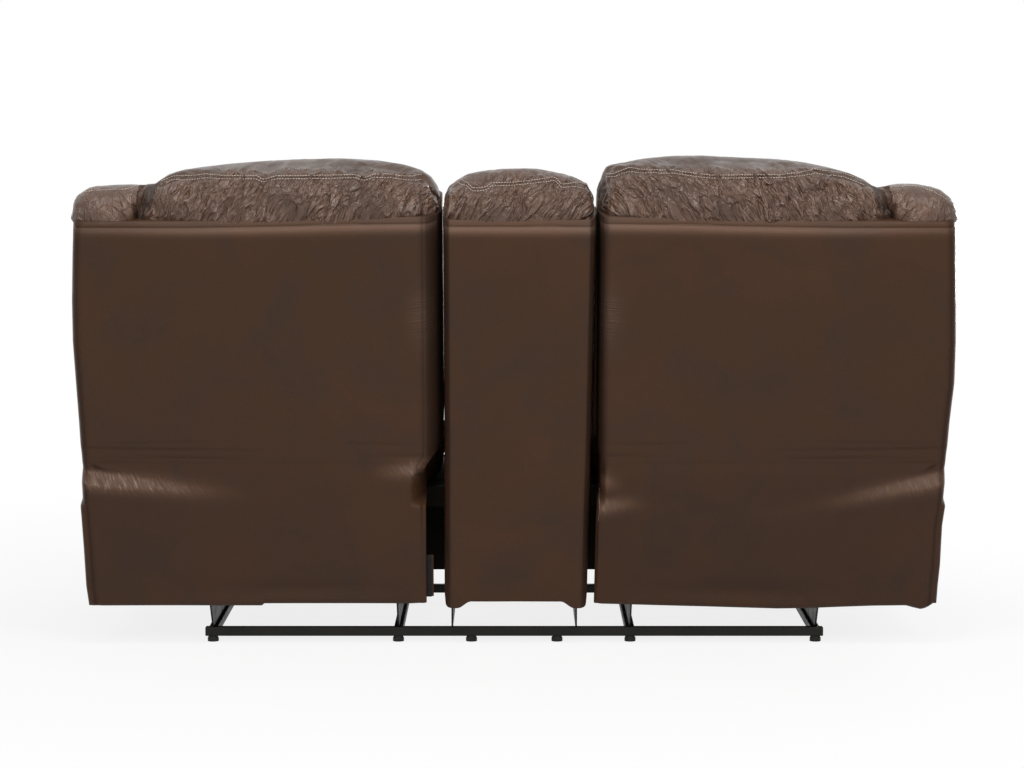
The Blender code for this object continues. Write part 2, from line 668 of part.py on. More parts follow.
def make_footrest(side, sign, steel, wood, leather):
    """Two pairs of links that swing the padded footrest board out from under the seat."""
    lower_axis = axis_empty(f"{side}_lower_link_axis", LOWER_PIVOT_Y, LOWER_PIVOT_Z)
    upper_y = LOWER_PIVOT_Y - LINK_RUN
    upper_axis = axis_empty(f"{side}_upper_link_axis", upper_y, LOWER_PIVOT_Z - LINK_FALL)
    board_axis = axis_empty(f"{side}_footrest_axis", upper_y - LINK_RUN, LOWER_PIVOT_Z)
    board_rear = -LINK_WIDTH / 2 - BOARD_GAP
    board_front = board_rear - BOARD_THICKNESS
    low, high = mirrored_box(
        sign, CONSOLE_SIDE + FOOTREST_SIDE_GAP, ARM_INNER - FOOTREST_SIDE_GAP,
        board_front, board_rear, -BOARD_BELOW_PIVOT, BOARD_ABOVE_PIVOT,
    )
    board = block(f"{side}_footrest_board", low, high, wood, board_axis)
    pad_low = (low[0], board_front - FIT - FOOTREST_PAD_THICKNESS, low[2])
    pad_high = (high[0], board_front - FIT, high[2])
    pad(f"{side}_footrest_pad", pad_low, pad_high, leather, board_axis, cells=(9, 3, 6), power=6, rest=(1, 1))
    for place, plate_x, toward in (("outer", OUTER_PLATE_X, -1), ("inner", INNER_PLATE_X, 1)):
        plate_far = sign * (plate_x - toward * PLATE_THICKNESS / 2)
        lower_span = link_layer(sign, plate_x, toward, 1)
        upper_span = link_layer(sign, plate_x, toward, 2)
        ear_span = link_layer(sign, plate_x, toward, 3)
        over = math.copysign(LINK_THICKNESS, lower_span[1] - lower_span[0])
        down = (-LINK_RUN, -LINK_FALL)
        up = (-LINK_RUN, LINK_FALL)
        make_link(f"{side}_{place}_lower_link", lower_span, down, plate_far, over, steel, lower_axis)
        make_link(f"{side}_{place}_upper_link", upper_span, up, lower_span[0], over, steel, upper_axis)
        root = board_rear - BOARD_THICKNESS / 2
        round_end = arc(0.0, 0.0, LINK_WIDTH / 2, -math.pi / 2, math.pi / 2, ARC_STEPS)
        ear_outline = [*round_end, (root, LINK_WIDTH / 2), (root, -LINK_WIDTH / 2)]
        ear = tool(f"{side}_{place}_board_ear", prism(ear_outline, *ear_span), board_axis)
        combine(board, ear, "UNION")
        pin_outline = circle(0.0, 0.0, LINK_PIN_RADIUS)
        pin = prism(pin_outline, (ear_span[0] + ear_span[1]) / 2, upper_span[0])
        combine(board, tool(f"{side}_{place}_board_pin", pin, board_axis), "UNION")


def main():
    for old in list(bpy.data.objects):
        bpy.data.objects.remove(old, do_unlink=True)
    leather = material("brown_leather", (0.060, 0.030, 0.018), 0.45)
    steel = material("black_steel", (0.016, 0.015, 0.010), 0.40, 0.6)
    rubber = material("black_glide_plastic", (0.012, 0.012, 0.011), 0.60)
    wood = material("frame_plywood", (0.420, 0.290, 0.160), 0.70)
    plastic = material("black_plastic", (0.020, 0.018, 0.016), 0.50)
    make_base(steel, rubber)
    for side, sign in (("left", 1), ("right", -1)):
        make_side_plates(side, sign, steel)
        make_seat(side, sign, wood, leather)
        make_arm(side, sign, leather)
        make_lever(side, sign, plastic)
        make_back(side, sign, wood, leather)
        make_skirt(side, sign, leather)
        make_footrest(side, sign, steel, wood, leather)
    make_console(leather, plastic, steel)


main()
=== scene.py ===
"""Dresses the console loveseat's frame in leather, with its stitching, steelwork and a plain studio."""

import json
import math

import bmesh
import bpy
import numpy as np
from bpy.props import FloatProperty, FloatVectorProperty, PointerProperty
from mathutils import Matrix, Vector, noise
from mathutils.bvhtree import BVHTree


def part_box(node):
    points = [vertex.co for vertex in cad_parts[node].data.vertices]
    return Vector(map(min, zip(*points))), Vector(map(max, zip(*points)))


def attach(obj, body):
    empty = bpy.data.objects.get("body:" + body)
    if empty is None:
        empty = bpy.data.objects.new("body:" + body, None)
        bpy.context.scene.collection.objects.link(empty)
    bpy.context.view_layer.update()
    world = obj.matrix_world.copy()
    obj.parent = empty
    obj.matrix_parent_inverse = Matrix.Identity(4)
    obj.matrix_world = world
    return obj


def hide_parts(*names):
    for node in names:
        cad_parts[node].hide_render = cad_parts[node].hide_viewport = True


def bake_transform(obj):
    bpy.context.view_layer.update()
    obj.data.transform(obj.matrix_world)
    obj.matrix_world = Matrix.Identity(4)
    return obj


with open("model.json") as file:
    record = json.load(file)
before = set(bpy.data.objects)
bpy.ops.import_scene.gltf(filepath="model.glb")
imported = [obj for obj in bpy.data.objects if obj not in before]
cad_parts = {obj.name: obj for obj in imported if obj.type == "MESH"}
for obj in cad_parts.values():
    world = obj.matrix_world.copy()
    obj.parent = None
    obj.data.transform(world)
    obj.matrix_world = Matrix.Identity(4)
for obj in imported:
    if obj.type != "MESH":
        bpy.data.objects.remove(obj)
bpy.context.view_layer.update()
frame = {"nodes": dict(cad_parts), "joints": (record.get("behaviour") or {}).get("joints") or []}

bl_info = {
    "name": "Console loveseat",
    "version": (1, 0, 0),
    "blender": (4, 5, 0),
    "location": "View3D > Sidebar > Loveseat",
    "description": "Covers the loveseat's frame in leather and sets it in a plain studio",
    "category": "Object",
}

SIDES = {"left": 1, "right": -1}
JOINTS = {joint["name"]: joint for joint in frame["joints"]}
HINGE_Y, HINGE_Z = JOINTS["left_recline"]["pos_m"][1:]
LEAN = math.radians(10.45)
BACK_TOP = 0.572
BACK_REAR = 0.0705
BACK_FRONT = -0.029
SKIRT_FOOT = -0.297
SKIRT_THICKNESS = 0.012
BARREL = 0.0705
LEDGE_FOOT = BACK_TOP - 0.029
LEDGE_CREASE = BACK_TOP - 0.0145
PILLOW_TUCK = BACK_TOP - 0.020
OUTER_ROUND = 0.018
CONSOLE_GAP = 0.0012
PAD_GAP = 0.0004
GROOVE_HALF_WIDTH = 0.005

# Wrinkles to the metre, across and along their course: two kinds in the materials and two in the meshes.
FINE_STROKES = (170.0, 44.0, 44.0)
BROAD_STROKES = (82.0, 36.0, 36.0)
WIDE_RIDGES = (34, 9, 9)
SMALL_RIDGES = (80, 18, 18)
# Colour of the painted shade in creases, grooves, clefts and between wrinkles.
PAINTED_SHADE_BROWN = (0.010, 0.0055, 0.0035, 1.0)

# Sewn rows: how far they stand off the leather, at how many places they are found, where they start and end.
STITCH_LIFT = 0.0005
ROW_POINTS, ARM_ROW_POINTS, SKIRT_ROW_POINTS = 120, 80, 40
WING_ROW = (0.810, 0.925)
INSIDE_BACK_ROW = (0.20, 0.73)
SEAT_ROW = (0.20, 0.735)
ARM_ROW = (0.13, 0.575)
SKIRT_ROW = (-0.042, -0.100)

CLOTH_FRAMES = 20
CLOTH = {
    "quality": 4, "mass": 0.4, "tension_stiffness": 18, "compression_stiffness": 18, "shear_stiffness": 6,
    "bending_stiffness": 0.15, "use_pressure": True,
}

# Each lamp: place, what it is turned to, its two sides, and the setting that holds its power.
LAMPS = {
    "left lamp": ((1.5, 3.4, 2.3), (0.3, 0.4, 0.6), (0.8, 0.8), "rear_lamp"),
    "right lamp": ((-1.5, 3.4, 2.3), (-0.3, 0.4, 0.6), (0.8, 0.8), "rear_lamp"),
    "top lamp": ((0.0, 1.9, 3.3), (0.0, 0.3, 0.7), (2.4, 0.6), "top_lamp"),
    "front lamp": ((-1.9, -3.3, 0.80), (0.0, -0.4, 0.55), (1.6, 0.5), "front_lamp"),
}
CAMERA_PLACE = (0.005, 6.613, 1.179)
CAMERA_DROP = 5.41
CAMERA_LENS = 100.4
CAMERA_SENSOR = 36.0
FLOOR_SIDE = 30
# How white the floor is under the object, and the distances between which it turns quite white.
FLOOR_WHITE = 0.84
WHITE_FROM, WHITE_TO = 1.0, 2.6

# Crest of each head pillow and its stitch line: places from the console outwards, heights up the back.
PILLOW_CRESTS = {
    "left": [(0.159, 0.600), (0.168, 0.632), (0.180, 0.654), (0.202, 0.668), (0.238, 0.677), (0.297, 0.685),
             (0.381, 0.689), (0.463, 0.687), (0.532, 0.684), (0.618, 0.677), (0.668, 0.671), (0.718, 0.665),
             (0.750, 0.658), (0.774, 0.640)],
    "right": [(0.177, 0.605), (0.186, 0.652), (0.192, 0.668), (0.200, 0.677), (0.230, 0.684), (0.287, 0.690),
              (0.356, 0.695), (0.412, 0.695), (0.574, 0.687), (0.626, 0.681), (0.678, 0.670), (0.725, 0.658),
              (0.757, 0.645), (0.774, 0.632)],
}
PILLOW_SEAMS = {
    "left": [(0.202, 0.651), (0.262, 0.662), (0.301, 0.6645), (0.322, 0.658), (0.340, 0.6645),
             (0.510, 0.662), (0.538, 0.655), (0.551, 0.662), (0.664, 0.660), (0.683, 0.656),
             (0.735, 0.651), (0.760, 0.641)],
    "right": [(0.200, 0.6535), (0.245, 0.671), (0.341, 0.673), (0.420, 0.6645), (0.574, 0.6645),
              (0.645, 0.669), (0.690, 0.660), (0.710, 0.656), (0.752, 0.640)],
}
# Deep folds down each head pillow: place at the seam, lean outwards towards the foot, depth.
PILLOW_FOLDS = {
    "left": [(0.322, 0.016, 0.005), (0.538, 0.030, 0.007), (0.683, 0.034, 0.004), (0.425, 0.018, 0.003)],
    "right": [(0.505, 0.022, 0.007), (0.530, 0.040, 0.006), (0.690, 0.030, 0.004), (0.745, 0.034, 0.005),
              (0.300, 0.012, 0.004)],
}
WING_CRESTS = {
    "left": [(0.774, 0.630), (0.7945, 0.6365), (0.8316, 0.635), (0.8687, 0.633), (0.906, 0.631),
             (0.919, 0.6285), (0.932, 0.623), (0.941, 0.6165), (0.9487, 0.607), (0.954, 0.594)],
    "right": [(0.774, 0.629), (0.787, 0.631), (0.841, 0.6385), (0.872, 0.637), (0.899, 0.630),
              (0.918, 0.621), (0.9335, 0.611), (0.945, 0.598), (0.954, 0.585)],
}
# Where each back and pillow ends beside the console, and how wide the soft turn of that edge is.
INNER_ENDS = {"left": 0.1575, "right": 0.1805}
INNER_ROUNDS = {"left": 0.040, "right": 0.018}
# Folds of each skirt: from place, to place (across, up the back), swell at both ends.
SKIRT_FOLDS = {
    "left": [((0.930, 0.004), (0.560, -0.034), 0.020, 0.0), ((0.190, 0.032), (0.330, 0.016), 0.014, 0.0)],
    "right": [((0.930, 0.002), (0.630, -0.063), 0.017, 0.001),
              ((0.180, -0.055), (0.310, -0.052), 0.014, 0.0), ((0.180, 0.006), (0.250, -0.012), 0.012, 0.0)],
}
# How wrinkled each skirt's folds are, how far its wrinkles slant, and how much shade is painted away from
# its folds.
SKIRT_STROKES = {"left": 0.70, "right": 0.35}
SKIRT_SLANTS = {"left": -0.55, "right": 0.35}
SKIRT_SHADES = {"left": 0.04, "right": 0.16}
# Lower edge of each skirt: place from the console outwards, and how far it hangs below the hem line.
SKIRT_HEMS = {
    "left": [(0.18, 0.0), (0.555, 0.0), (0.560, 0.005), (0.93, 0.005)],
    "right": [(0.176, 0.0), (0.584, 0.0125), (0.653, 0.0115), (0.80, 0.0055), (0.87, 0.0045), (0.885, 0.009),
              (0.904, 0.0135), (0.918, 0.009), (0.93, 0.0)],
}
# Outer and inner edges of each back from its hem up: height, and place from the console outwards.
BACK_EDGES = {
    "left": [(-0.31, 0.944), (-0.254, 0.950), (-0.162, 0.952), (-0.07, 0.955), (0.0226, 0.955),
             (0.115, 0.957), (0.207, 0.960), (0.30, 0.963), (0.392, 0.961), (0.484, 0.956), (0.53, 0.953),
             (0.572, 0.951)],
    "right": [(-0.31, 0.938), (-0.254, 0.940), (-0.208, 0.943), (-0.116, 0.944), (-0.07, 0.949),
              (0.0226, 0.953), (0.115, 0.957), (0.207, 0.964), (0.30, 0.963), (0.392, 0.9595),
              (0.484, 0.955), (0.53, 0.953), (0.572, 0.951)],
}
BACK_INSIDES = {
    "left": [(-0.31, 0.1945), (-0.03, 0.194), (0.0, 0.190), (0.045, 0.159), (0.10, 0.1575)],
    "right": [(-0.31, 0.1765), (-0.10, 0.180), (-0.03, 0.184), (0.0, 0.184), (0.045, 0.1805)],
}
CONSOLE_EDGES = {
    "left": [(-0.31, 0.1565), (0.1, 0.1555), (0.572, 0.1555)],
    "right": [(-0.31, 0.163), (0.1, 0.172), (0.572, 0.1785)],
}
# Heights up the back of the shallow creases that run across the foot of each panel.
PANEL_CREASES = (0.030, 0.044, 0.061, 0.078)

# Depth on the back at which a crown is seen level, how softly it stops at its crest, and in how many
# stretches its height is found.
CREST_DEPTH = -0.0193
CREST_SOFTNESS = 0.006
CREST_BINS = 60
# Outlines of the pads, as (depth, height) on the leaning back, and the tops that their crests are given for.
FORM_CELL = 0.008
PILLOW_CELL = 0.0052
PILLOW_TOP = 0.687
PILLOW_OUTER_END = 0.766
PILLOW_OUTLINE = [
    (0.052, 0.550), (0.061, 0.574), (0.064, 0.600), (0.062, 0.632), (0.050, 0.660), (0.016, 0.681),
    (-0.035, 0.686), (-0.090, 0.671), (-0.135, 0.634), (-0.160, 0.575), (-0.150, 0.512), (-0.110, 0.487),
    (-0.060, 0.492), (-0.034, 0.514), (-0.026, 0.546), (0.015, 0.548),
]
WING_TOP = 0.637
WING_ENDS = (0.774, 0.960)
WING_FOOT_END = 0.942
WING_CELL = 0.0060
# Where a head pillow meets its wing at the top of the back, and how far that line slants.
CLEFT_PLACE, CLEFT_SLANT = 0.800, 0.40
WING_OUTLINE = [
    (0.050, 0.550), (0.059, 0.574), (0.058, 0.596), (0.045, 0.621), (0.008, 0.637), (-0.045, 0.632),
    (-0.090, 0.590), (-0.104, 0.520), (-0.104, 0.420), (-0.094, 0.335), (-0.068, 0.296), (-0.038, 0.305),
    (-0.028, 0.345), (-0.028, 0.450), (-0.026, 0.546), (0.015, 0.548),
]
BACK_PAD = [
    (-0.031, 0.110), (-0.031, 0.280), (-0.031, 0.455), (-0.050, 0.478), (-0.105, 0.480), (-0.152, 0.455),
    (-0.170, 0.380), (-0.172, 0.290), (-0.165, 0.200), (-0.147, 0.125), (-0.105, 0.094), (-0.055, 0.092),
]
BACK_PAD_ENDS = (0.155, 0.765)
BACK_PAD_SEAM = 0.250
GUSSET_WIDTH = 0.030
GUSSET = [
    (-0.018, 0.070), (-0.016, 0.200), (-0.016, 0.400), (-0.018, 0.560), (-0.040, 0.605), (-0.090, 0.610),
    (-0.140, 0.570), (-0.152, 0.450), (-0.152, 0.250), (-0.142, 0.120), (-0.110, 0.080), (-0.060, 0.060),
]
CONSOLE_PILLOW_TOP = 0.672
CONSOLE_PILLOW_ENDS = (-0.169, 0.150)
CONSOLE_PILLOW = [
    (0.050, 0.552), (0.061, 0.576), (0.063, 0.602), (0.058, 0.632), (0.042, 0.657), (0.010, 0.671),
    (-0.030, 0.667), (-0.062, 0.642), (-0.072, 0.604), (-0.066, 0.570), (-0.050, 0.552), (0.000, 0.550),
]
CONSOLE_CREST = [
    (-0.165, 0.625), (-0.157, 0.640), (-0.141, 0.6475), (-0.113, 0.655), (-0.081, 0.6635), (-0.049, 0.6685),
    (-0.021, 0.6697), (0.0186, 0.6684), (0.058, 0.6656), (0.098, 0.658), (0.118, 0.650), (0.142, 0.634),
    (0.152, 0.615),
]
CONSOLE_SEAM = [
    (-0.155, 0.635), (-0.129, 0.642), (-0.101, 0.643), (-0.091, 0.652), (-0.083, 0.6556), (-0.041, 0.6527),
    (-0.0013, 0.649), (0.0504, 0.647), (0.0584, 0.640), (0.0763, 0.637), (0.090, 0.637), (0.102, 0.645),
    (0.122, 0.644), (0.136, 0.637),
]
CONSOLE_FRONT_LINE = [(-0.31, -0.024), (0.128, -0.104), (0.572, -0.078)]

# Outlines of the pads that don't lean, as (y, z).
SEAT_PAD = [
    (0.232, 0.3475), (0.242, 0.400), (0.232, 0.448), (0.150, 0.470), (0.000, 0.478), (-0.200, 0.480),
    (-0.330, 0.470), (-0.390, 0.440), (-0.404, 0.400), (-0.395, 0.360), (-0.360, 0.3465), (-0.100, 0.3465),
    (0.100, 0.3465),
]
SEAT_ENDS = (0.162, 0.774)
SEAT_SEAM = -0.300
ARM_BODY = [
    (-0.500, 0.112), (-0.509, 0.300), (-0.506, 0.540), (-0.494, 0.596), (-0.450, 0.5995), (-0.200, 0.5995),
    (0.100, 0.5995), (0.270, 0.5995), (0.293, 0.585), (0.284, 0.480), (0.266, 0.300), (0.254, 0.125),
    (0.235, 0.1005), (0.000, 0.1005), (-0.300, 0.1005), (-0.470, 0.1005),
]
ARM_ENDS = (0.7845, 0.9355)
ARM_SEAM = -0.470
ARM_PAD_ENDS = (0.786, 0.934)
ARM_PAD = [
    (0.283, 0.6025), (0.288, 0.620), (0.268, 0.640), (0.150, 0.648), (-0.100, 0.650), (-0.350, 0.648),
    (-0.470, 0.638), (-0.498, 0.620), (-0.492, 0.603), (-0.350, 0.6010), (-0.100, 0.6010), (0.150, 0.6010),
]
FOOTREST_ENDS = (0.177, 0.759)
FOOTREST_PAD = [
    (-0.4012, 0.075), (-0.4012, 0.200), (-0.4012, 0.320), (-0.418, 0.336), (-0.450, 0.326), (-0.468, 0.275),
    (-0.471, 0.200), (-0.468, 0.120), (-0.450, 0.070), (-0.418, 0.059),
]
LID_ENDS = (-0.150, 0.150)
LID_PAD = [
    (0.157, 0.5475), (0.160, 0.568), (0.149, 0.584), (0.080, 0.592), (-0.040, 0.594), (-0.150, 0.592),
    (-0.224, 0.582), (-0.2355, 0.566), (-0.231, 0.548), (-0.150, 0.5462), (0.000, 0.5462), (0.100, 0.5462),
]


class LeatherSettings(bpy.types.PropertyGroup):
    """Colours and grain of the leather, and the colours of its pull-up lightening and painted highlights."""

    ground: FloatVectorProperty(
        name="Ground", description="Main brown of the hide", subtype="COLOR", size=4,
        default=(0.0485, 0.0228, 0.0116, 1.0),
    )
    warm: FloatVectorProperty(
        name="Warm", description="Reddish patches of the hide", subtype="COLOR", size=4,
        default=(0.0575, 0.0253, 0.0123, 1.0),
    )
    cool: FloatVectorProperty(
        name="Cool", description="Greyer patches of the hide", subtype="COLOR", size=4,
        default=(0.039, 0.0222, 0.0138, 1.0),
    )
    # Tan of stretched, pulled-up leather on raised wrinkles, also used as painted sheen on ledges, folds and
    # the wing.
    rubbed: FloatVectorProperty(
        name="Rubbed", description="Lighter brown on raised wrinkles", subtype="COLOR", size=4,
        default=(0.215, 0.125, 0.087, 1.0),
    )
    # Painted highlight: palest streaks that stand in for the sheen on the sharpest wrinkles.
    painted_highlight: FloatVectorProperty(
        name="Ridge", description="Palest streaks on the sharpest wrinkles", subtype="COLOR", size=4,
        default=(0.460, 0.400, 0.380, 1.0),
    )
    pebble: FloatProperty(
        name="Pebble", description="Width of one grain pebble", unit="LENGTH", default=0.0028,
    )


class SeamSettings(bpy.types.PropertyGroup):
    """Sizes of the sewn rows."""

    stitch: FloatProperty(
        name="Stitch", description="Length of one stitch", unit="LENGTH", default=0.0050,
    )
    pitch: FloatProperty(
        name="Pitch", description="Distance from stitch to stitch", unit="LENGTH", default=0.0058,
    )
    thread: FloatProperty(
        name="Thread", description="Thickness of the thread", unit="LENGTH", default=0.0020,
    )
    row_gap: FloatProperty(
        name="Row gap", description="Distance between the two rows of a double seam", unit="LENGTH",
        default=0.0058,
    )
    colour: FloatVectorProperty(
        name="Thread colour", description="Pale thread of the double seams", subtype="COLOR", size=4,
        default=(0.62, 0.50, 0.41, 1.0),
    )


class StuffingSettings(bpy.types.PropertyGroup):
    """How full the cushions are."""

    pressure: FloatProperty(
        name="Pressure", description="Push of the filling on the cover", default=4.0,
    )
    swell: FloatProperty(
        name="Swell", description="Furthest that the filling pushes the cover out", unit="LENGTH",
        default=0.022,
    )


class StudioSettings(bpy.types.PropertyGroup):
    """Floor, lamps and sky."""

    floor: FloatVectorProperty(
        name="Floor", description="Colour of the floor", subtype="COLOR", size=4,
        default=(0.86, 0.86, 0.86, 1.0),
    )
    rear_lamp: FloatProperty(
        name="Rear lamps", description="Power of each lamp on the camera's side", unit="POWER",
        default=30.0,
    )
    top_lamp: FloatProperty(
        name="Top lamp", description="Power of the lamp overhead", unit="POWER", default=46.0,
    )
    front_lamp: FloatProperty(
        name="Front lamp", description="Power of the lamp on the sitters' side", unit="POWER", default=60.0,
    )
    sky: FloatProperty(
        name="Sky", description="Strength of the even light from all round", default=0.36,
    )


def lean(points):
    """Places given as across, depth and height on the leaning back, in the model's frame."""
    across, depth, height = np.asarray(points, float).T
    y = HINGE_Y + depth * math.cos(LEAN) + height * math.sin(LEAN)
    z = HINGE_Z - depth * math.sin(LEAN) + height * math.cos(LEAN)
    return np.column_stack((across, y, z))


def ease(share):
    """Smooth step from 0 to 1."""
    share = np.clip(share, 0.0, 1.0)
    return share * share * (3 - 2 * share)


def hump(distance, half_width):
    """Bell that is 1 at no distance and nearly 0 two half widths away."""
    return np.exp(-((distance / half_width) ** 2))


def along(table, places):
    """Value of a table of (place, value) pairs at each place."""
    marks, values = zip(*table)
    return np.interp(places, marks, values)


def ripple(points, seed):
    """Smooth noise from about -1 to 1 at each place."""
    shift = Vector((seed * 7.3, seed * 3.1, seed * 5.7))
    return np.array([noise.noise(Vector(point) + shift) for point in points])


def spots_at(across, depth, height):
    """Places from their three coordinates, each a value for all of them or one for each."""
    return np.column_stack(np.broadcast_arrays(across, depth, height))


def flat_ripple(seed, across, up=0.0):
    """Smooth noise that follows only a place across and up."""
    return ripple(spots_at(across, up, 0.0), seed)


def crinkle(points, seed):
    """Sharp ridges, 1 on their crests and 0 in between, at each place."""
    return np.clip(1 - 2.2 * np.abs(ripple(points, seed)), 0.0, 1.0) ** 1.5


def mesh_from(points, faces):
    """Closed mesh with its faces turned outwards."""
    mesh = bpy.data.meshes.new("form")
    mesh.from_pydata(np.asarray(points).tolist(), [], faces)
    work = bmesh.new()
    work.from_mesh(mesh)
    bmesh.ops.recalc_face_normals(work, faces=work.faces)
    work.to_mesh(mesh)
    work.free()
    return mesh


def places(mesh):
    """Coordinates of a mesh's points."""
    values = np.empty(len(mesh.vertices) * 3)
    mesh.vertices.foreach_get("co", values)
    return values.reshape(-1, 3)


def normals(mesh):
    """Outward direction at a mesh's points."""
    values = np.empty(len(mesh.vertices) * 3)
    mesh.vertex_normals.foreach_get("vector", values)
    return values.reshape(-1, 3)


def put(mesh, points):
    """Move a mesh's points."""
    mesh.vertices.foreach_set("co", np.asarray(points).ravel())
    mesh.update()


def kept(mesh, axis, low=-np.inf, high=np.inf):
    """Keep a mesh's points between two places on one axis."""
    points = places(mesh)
    points[:, axis] = np.clip(points[:, axis], low, high)
    put(mesh, points)


def push(mesh, heights):
    """Move a mesh's points outwards."""
    put(mesh, places(mesh) + normals(mesh) * heights[:, None])


def mark(mesh, name, values):
    """Keep a value from 0 to 1 at each point, for the leather to read."""
    layer = mesh.attributes.get(name) or mesh.attributes.new(name, "FLOAT", "POINT")
    layer.data.foreach_set("value", np.clip(values, 0.0, 1.0))


def mark_strokes(mesh, run, up, strength):
    """Keep the course of the fine wrinkles at each point, and how strong they are there."""
    layer = mesh.attributes.get("stroke") or mesh.attributes.new("stroke", "FLOAT_VECTOR", "POINT")
    layer.data.foreach_set("vector", np.column_stack((run, up, np.zeros(len(run)))).ravel())
    mark(mesh, "wrinkled", strength)


def piece_from(mesh, name, sign, material):
    """Piece with a copy of a mesh, mirrored for the right side."""
    shape = mesh.copy()
    shape.name = name
    if sign < 0:
        put(shape, places(shape) * (-1.0, 1.0, 1.0))
        shape.flip_normals()
    shape.polygons.foreach_set("use_smooth", np.ones(len(shape.polygons), bool))
    shape.materials.clear()
    shape.materials.append(material)
    piece = bpy.data.objects.new(name, shape)
    bpy.context.scene.collection.objects.link(piece)
    return piece


def modified(mesh, add_modifiers, frames=0):
    """Mesh that a set of modifiers makes of a mesh, after a number of simulated frames."""
    scene = bpy.context.scene
    holder = bpy.data.objects.new("holder", mesh)
    scene.collection.objects.link(holder)
    add_modifiers(holder)
    for number in range(1, frames + 1):
        scene.frame_set(number)
    shaped = holder.evaluated_get(bpy.context.evaluated_depsgraph_get())
    result = bpy.data.meshes.new_from_object(shaped)
    bpy.data.objects.remove(holder)
    return result


def swollen(mesh, cell, held=None, slack=0.0, cap=None):
    """Cover of a pad after its filling has pushed it out; held gives how firmly each point is sewn down."""
    stuffing = bpy.context.scene.loveseat_stuffing
    cap = stuffing.swell if cap is None else cap

    def remesh(holder):
        cells = holder.modifiers.new("Cells", "REMESH")
        cells.mode = "VOXEL"
        cells.voxel_size = cell

    def fill(holder):
        group = holder.vertex_groups.new(name="sewn")
        if held is not None:
            for number, weight in enumerate(held(places(holder.data))):
                if weight > 0:
                    group.add([number], float(weight), "REPLACE")
        cloth = holder.modifiers.new("Cover", "CLOTH")
        for name, value in CLOTH.items():
            setattr(cloth.settings, name, value)
        cloth.settings.shrink_min = -slack
        cloth.settings.uniform_pressure_force = stuffing.pressure
        cloth.settings.effector_weights.gravity = 0.0
        cloth.collision_settings.use_collision = False
        cloth.point_cache.frame_start = 1
        cloth.point_cache.frame_end = CLOTH_FRAMES
        if held is not None:
            cloth.settings.vertex_group_mass = "sewn"

    cells = modified(mesh, remesh)
    start = places(cells)
    filled = modified(cells, fill, CLOTH_FRAMES)
    bpy.context.scene.frame_set(1)
    moved = places(filled) - start
    reach = np.linalg.norm(moved, axis=1, keepdims=True)
    put(filled, start + moved * np.minimum(1.0, cap / np.maximum(reach, 1e-9)))
    return filled


def smoother(mesh):
    """Mesh after one subdivision."""
    def divide(holder):
        subdivision = holder.modifiers.new("Finer", "SUBSURF")
        subdivision.levels = 1
        subdivision.render_levels = 1

    return modified(mesh, divide)


def smooth_loop(outline, count):
    """Evenly spaced places on a smooth closed curve through an outline's points."""
    outline = np.array(outline, float)
    steps = np.linspace(0, len(outline), 40 * len(outline), endpoint=False)
    index = steps.astype(int)
    share = (steps - index)[:, None]
    before, here, after, beyond = (outline[(index + k) % len(outline)] for k in (-1, 0, 1, 2))
    cubic = 3 * (here - after) + beyond - before
    square = 2 * before - 5 * here + 4 * after - beyond
    curve = here + share / 2 * (after - before + share * (square + share * cubic))
    curve = np.vstack((curve, curve[:1]))
    run = np.concatenate(([0.0], np.cumsum(np.linalg.norm(np.diff(curve, axis=0), axis=1))))
    even = np.linspace(0, run[-1], count, endpoint=False)
    return np.column_stack((np.interp(even, run, curve[:, 0]), np.interp(even, run, curve[:, 1])))


def lofted(x_low, x_high, outline, cell, power=7, ends=10):
    """Points and faces of a pad whose outline in depth and height runs across from x_low to x_high."""
    size = np.ptp(np.array(outline), axis=0).sum() * 2
    loop = smooth_loop(outline, int(size / cell))
    core = loop.mean(axis=0)
    rows = int((x_high - x_low) / cell)
    cap = np.arange(1, ends) / ends
    across = np.concatenate((-np.ones(ends - 1), np.linspace(-1, 1, rows), np.ones(ends - 1)))
    spread = np.concatenate((cap, np.ones(rows), cap[::-1]))
    reach = (np.abs(across) ** power + spread ** power) ** (1 / power)
    across, spread = across / reach, spread / reach
    middle, half = (x_low + x_high) / 2, (x_high - x_low) / 2
    rings = [
        np.column_stack((np.full(len(loop), middle + half * a), core + (loop - core) * s))
        for a, s in zip(across, spread)
    ]
    points = np.vstack(([[x_low, *core]], *rings, [[x_high, *core]]))
    count = len(loop)
    faces = []
    for k in range(count):
        near, far = 1 + k, 1 + (k + 1) % count
        faces.append((0, far, near))
        for low in range(0, (len(rings) - 1) * count, count):
            faces.append((near + low, far + low, far + low + count, near + low + count))
        last = 1 + (len(rings) - 1) * count
        faces.append((last + count, last + k, last + (k + 1) % count))
    return points, faces


def hull(across, depth, height):
    """Points on the skin of a block of given divisions, each from 0 to 1, and the faces that join them."""
    levels = [np.asarray(axis, float) for axis in (across, depth, height)]
    counts = [len(axis) for axis in levels]
    grid = np.indices(counts)
    skin = np.zeros(counts, bool)
    for axis in range(3):
        skin |= (grid[axis] == 0) | (grid[axis] == counts[axis] - 1)
    index = np.full(counts, -1)
    index[skin] = np.arange(skin.sum())
    points = np.column_stack([levels[axis][grid[axis][skin]] for axis in range(3)])
    faces = []
    for axis in range(3):
        for end in (0, counts[axis] - 1):
            side = np.take(index, end, axis=axis)
            corners = (side[:-1, :-1], side[1:, :-1], side[1:, 1:], side[:-1, 1:])
            faces.extend(np.stack(corners, axis=-1).reshape(-1, 4).tolist())
    return points, faces


def add_node(tree, kind, inputs=None, **settings):
    """Node with its settings made and its inputs set or linked."""
    node = tree.nodes.new(kind)
    for name, value in settings.items():
        setattr(node, name, value)
    for name, value in (inputs or {}).items():
        if isinstance(value, bpy.types.NodeSocket):
            tree.links.new(value, node.inputs[name])
        else:
            node.inputs[name].default_value = value
    return node


def mixed(tree, share, first, second):
    """Colour that is a mix of two."""
    return add_node(tree, "ShaderNodeMix", {0: share, 6: first, 7: second}, data_type="RGBA").outputs[2]


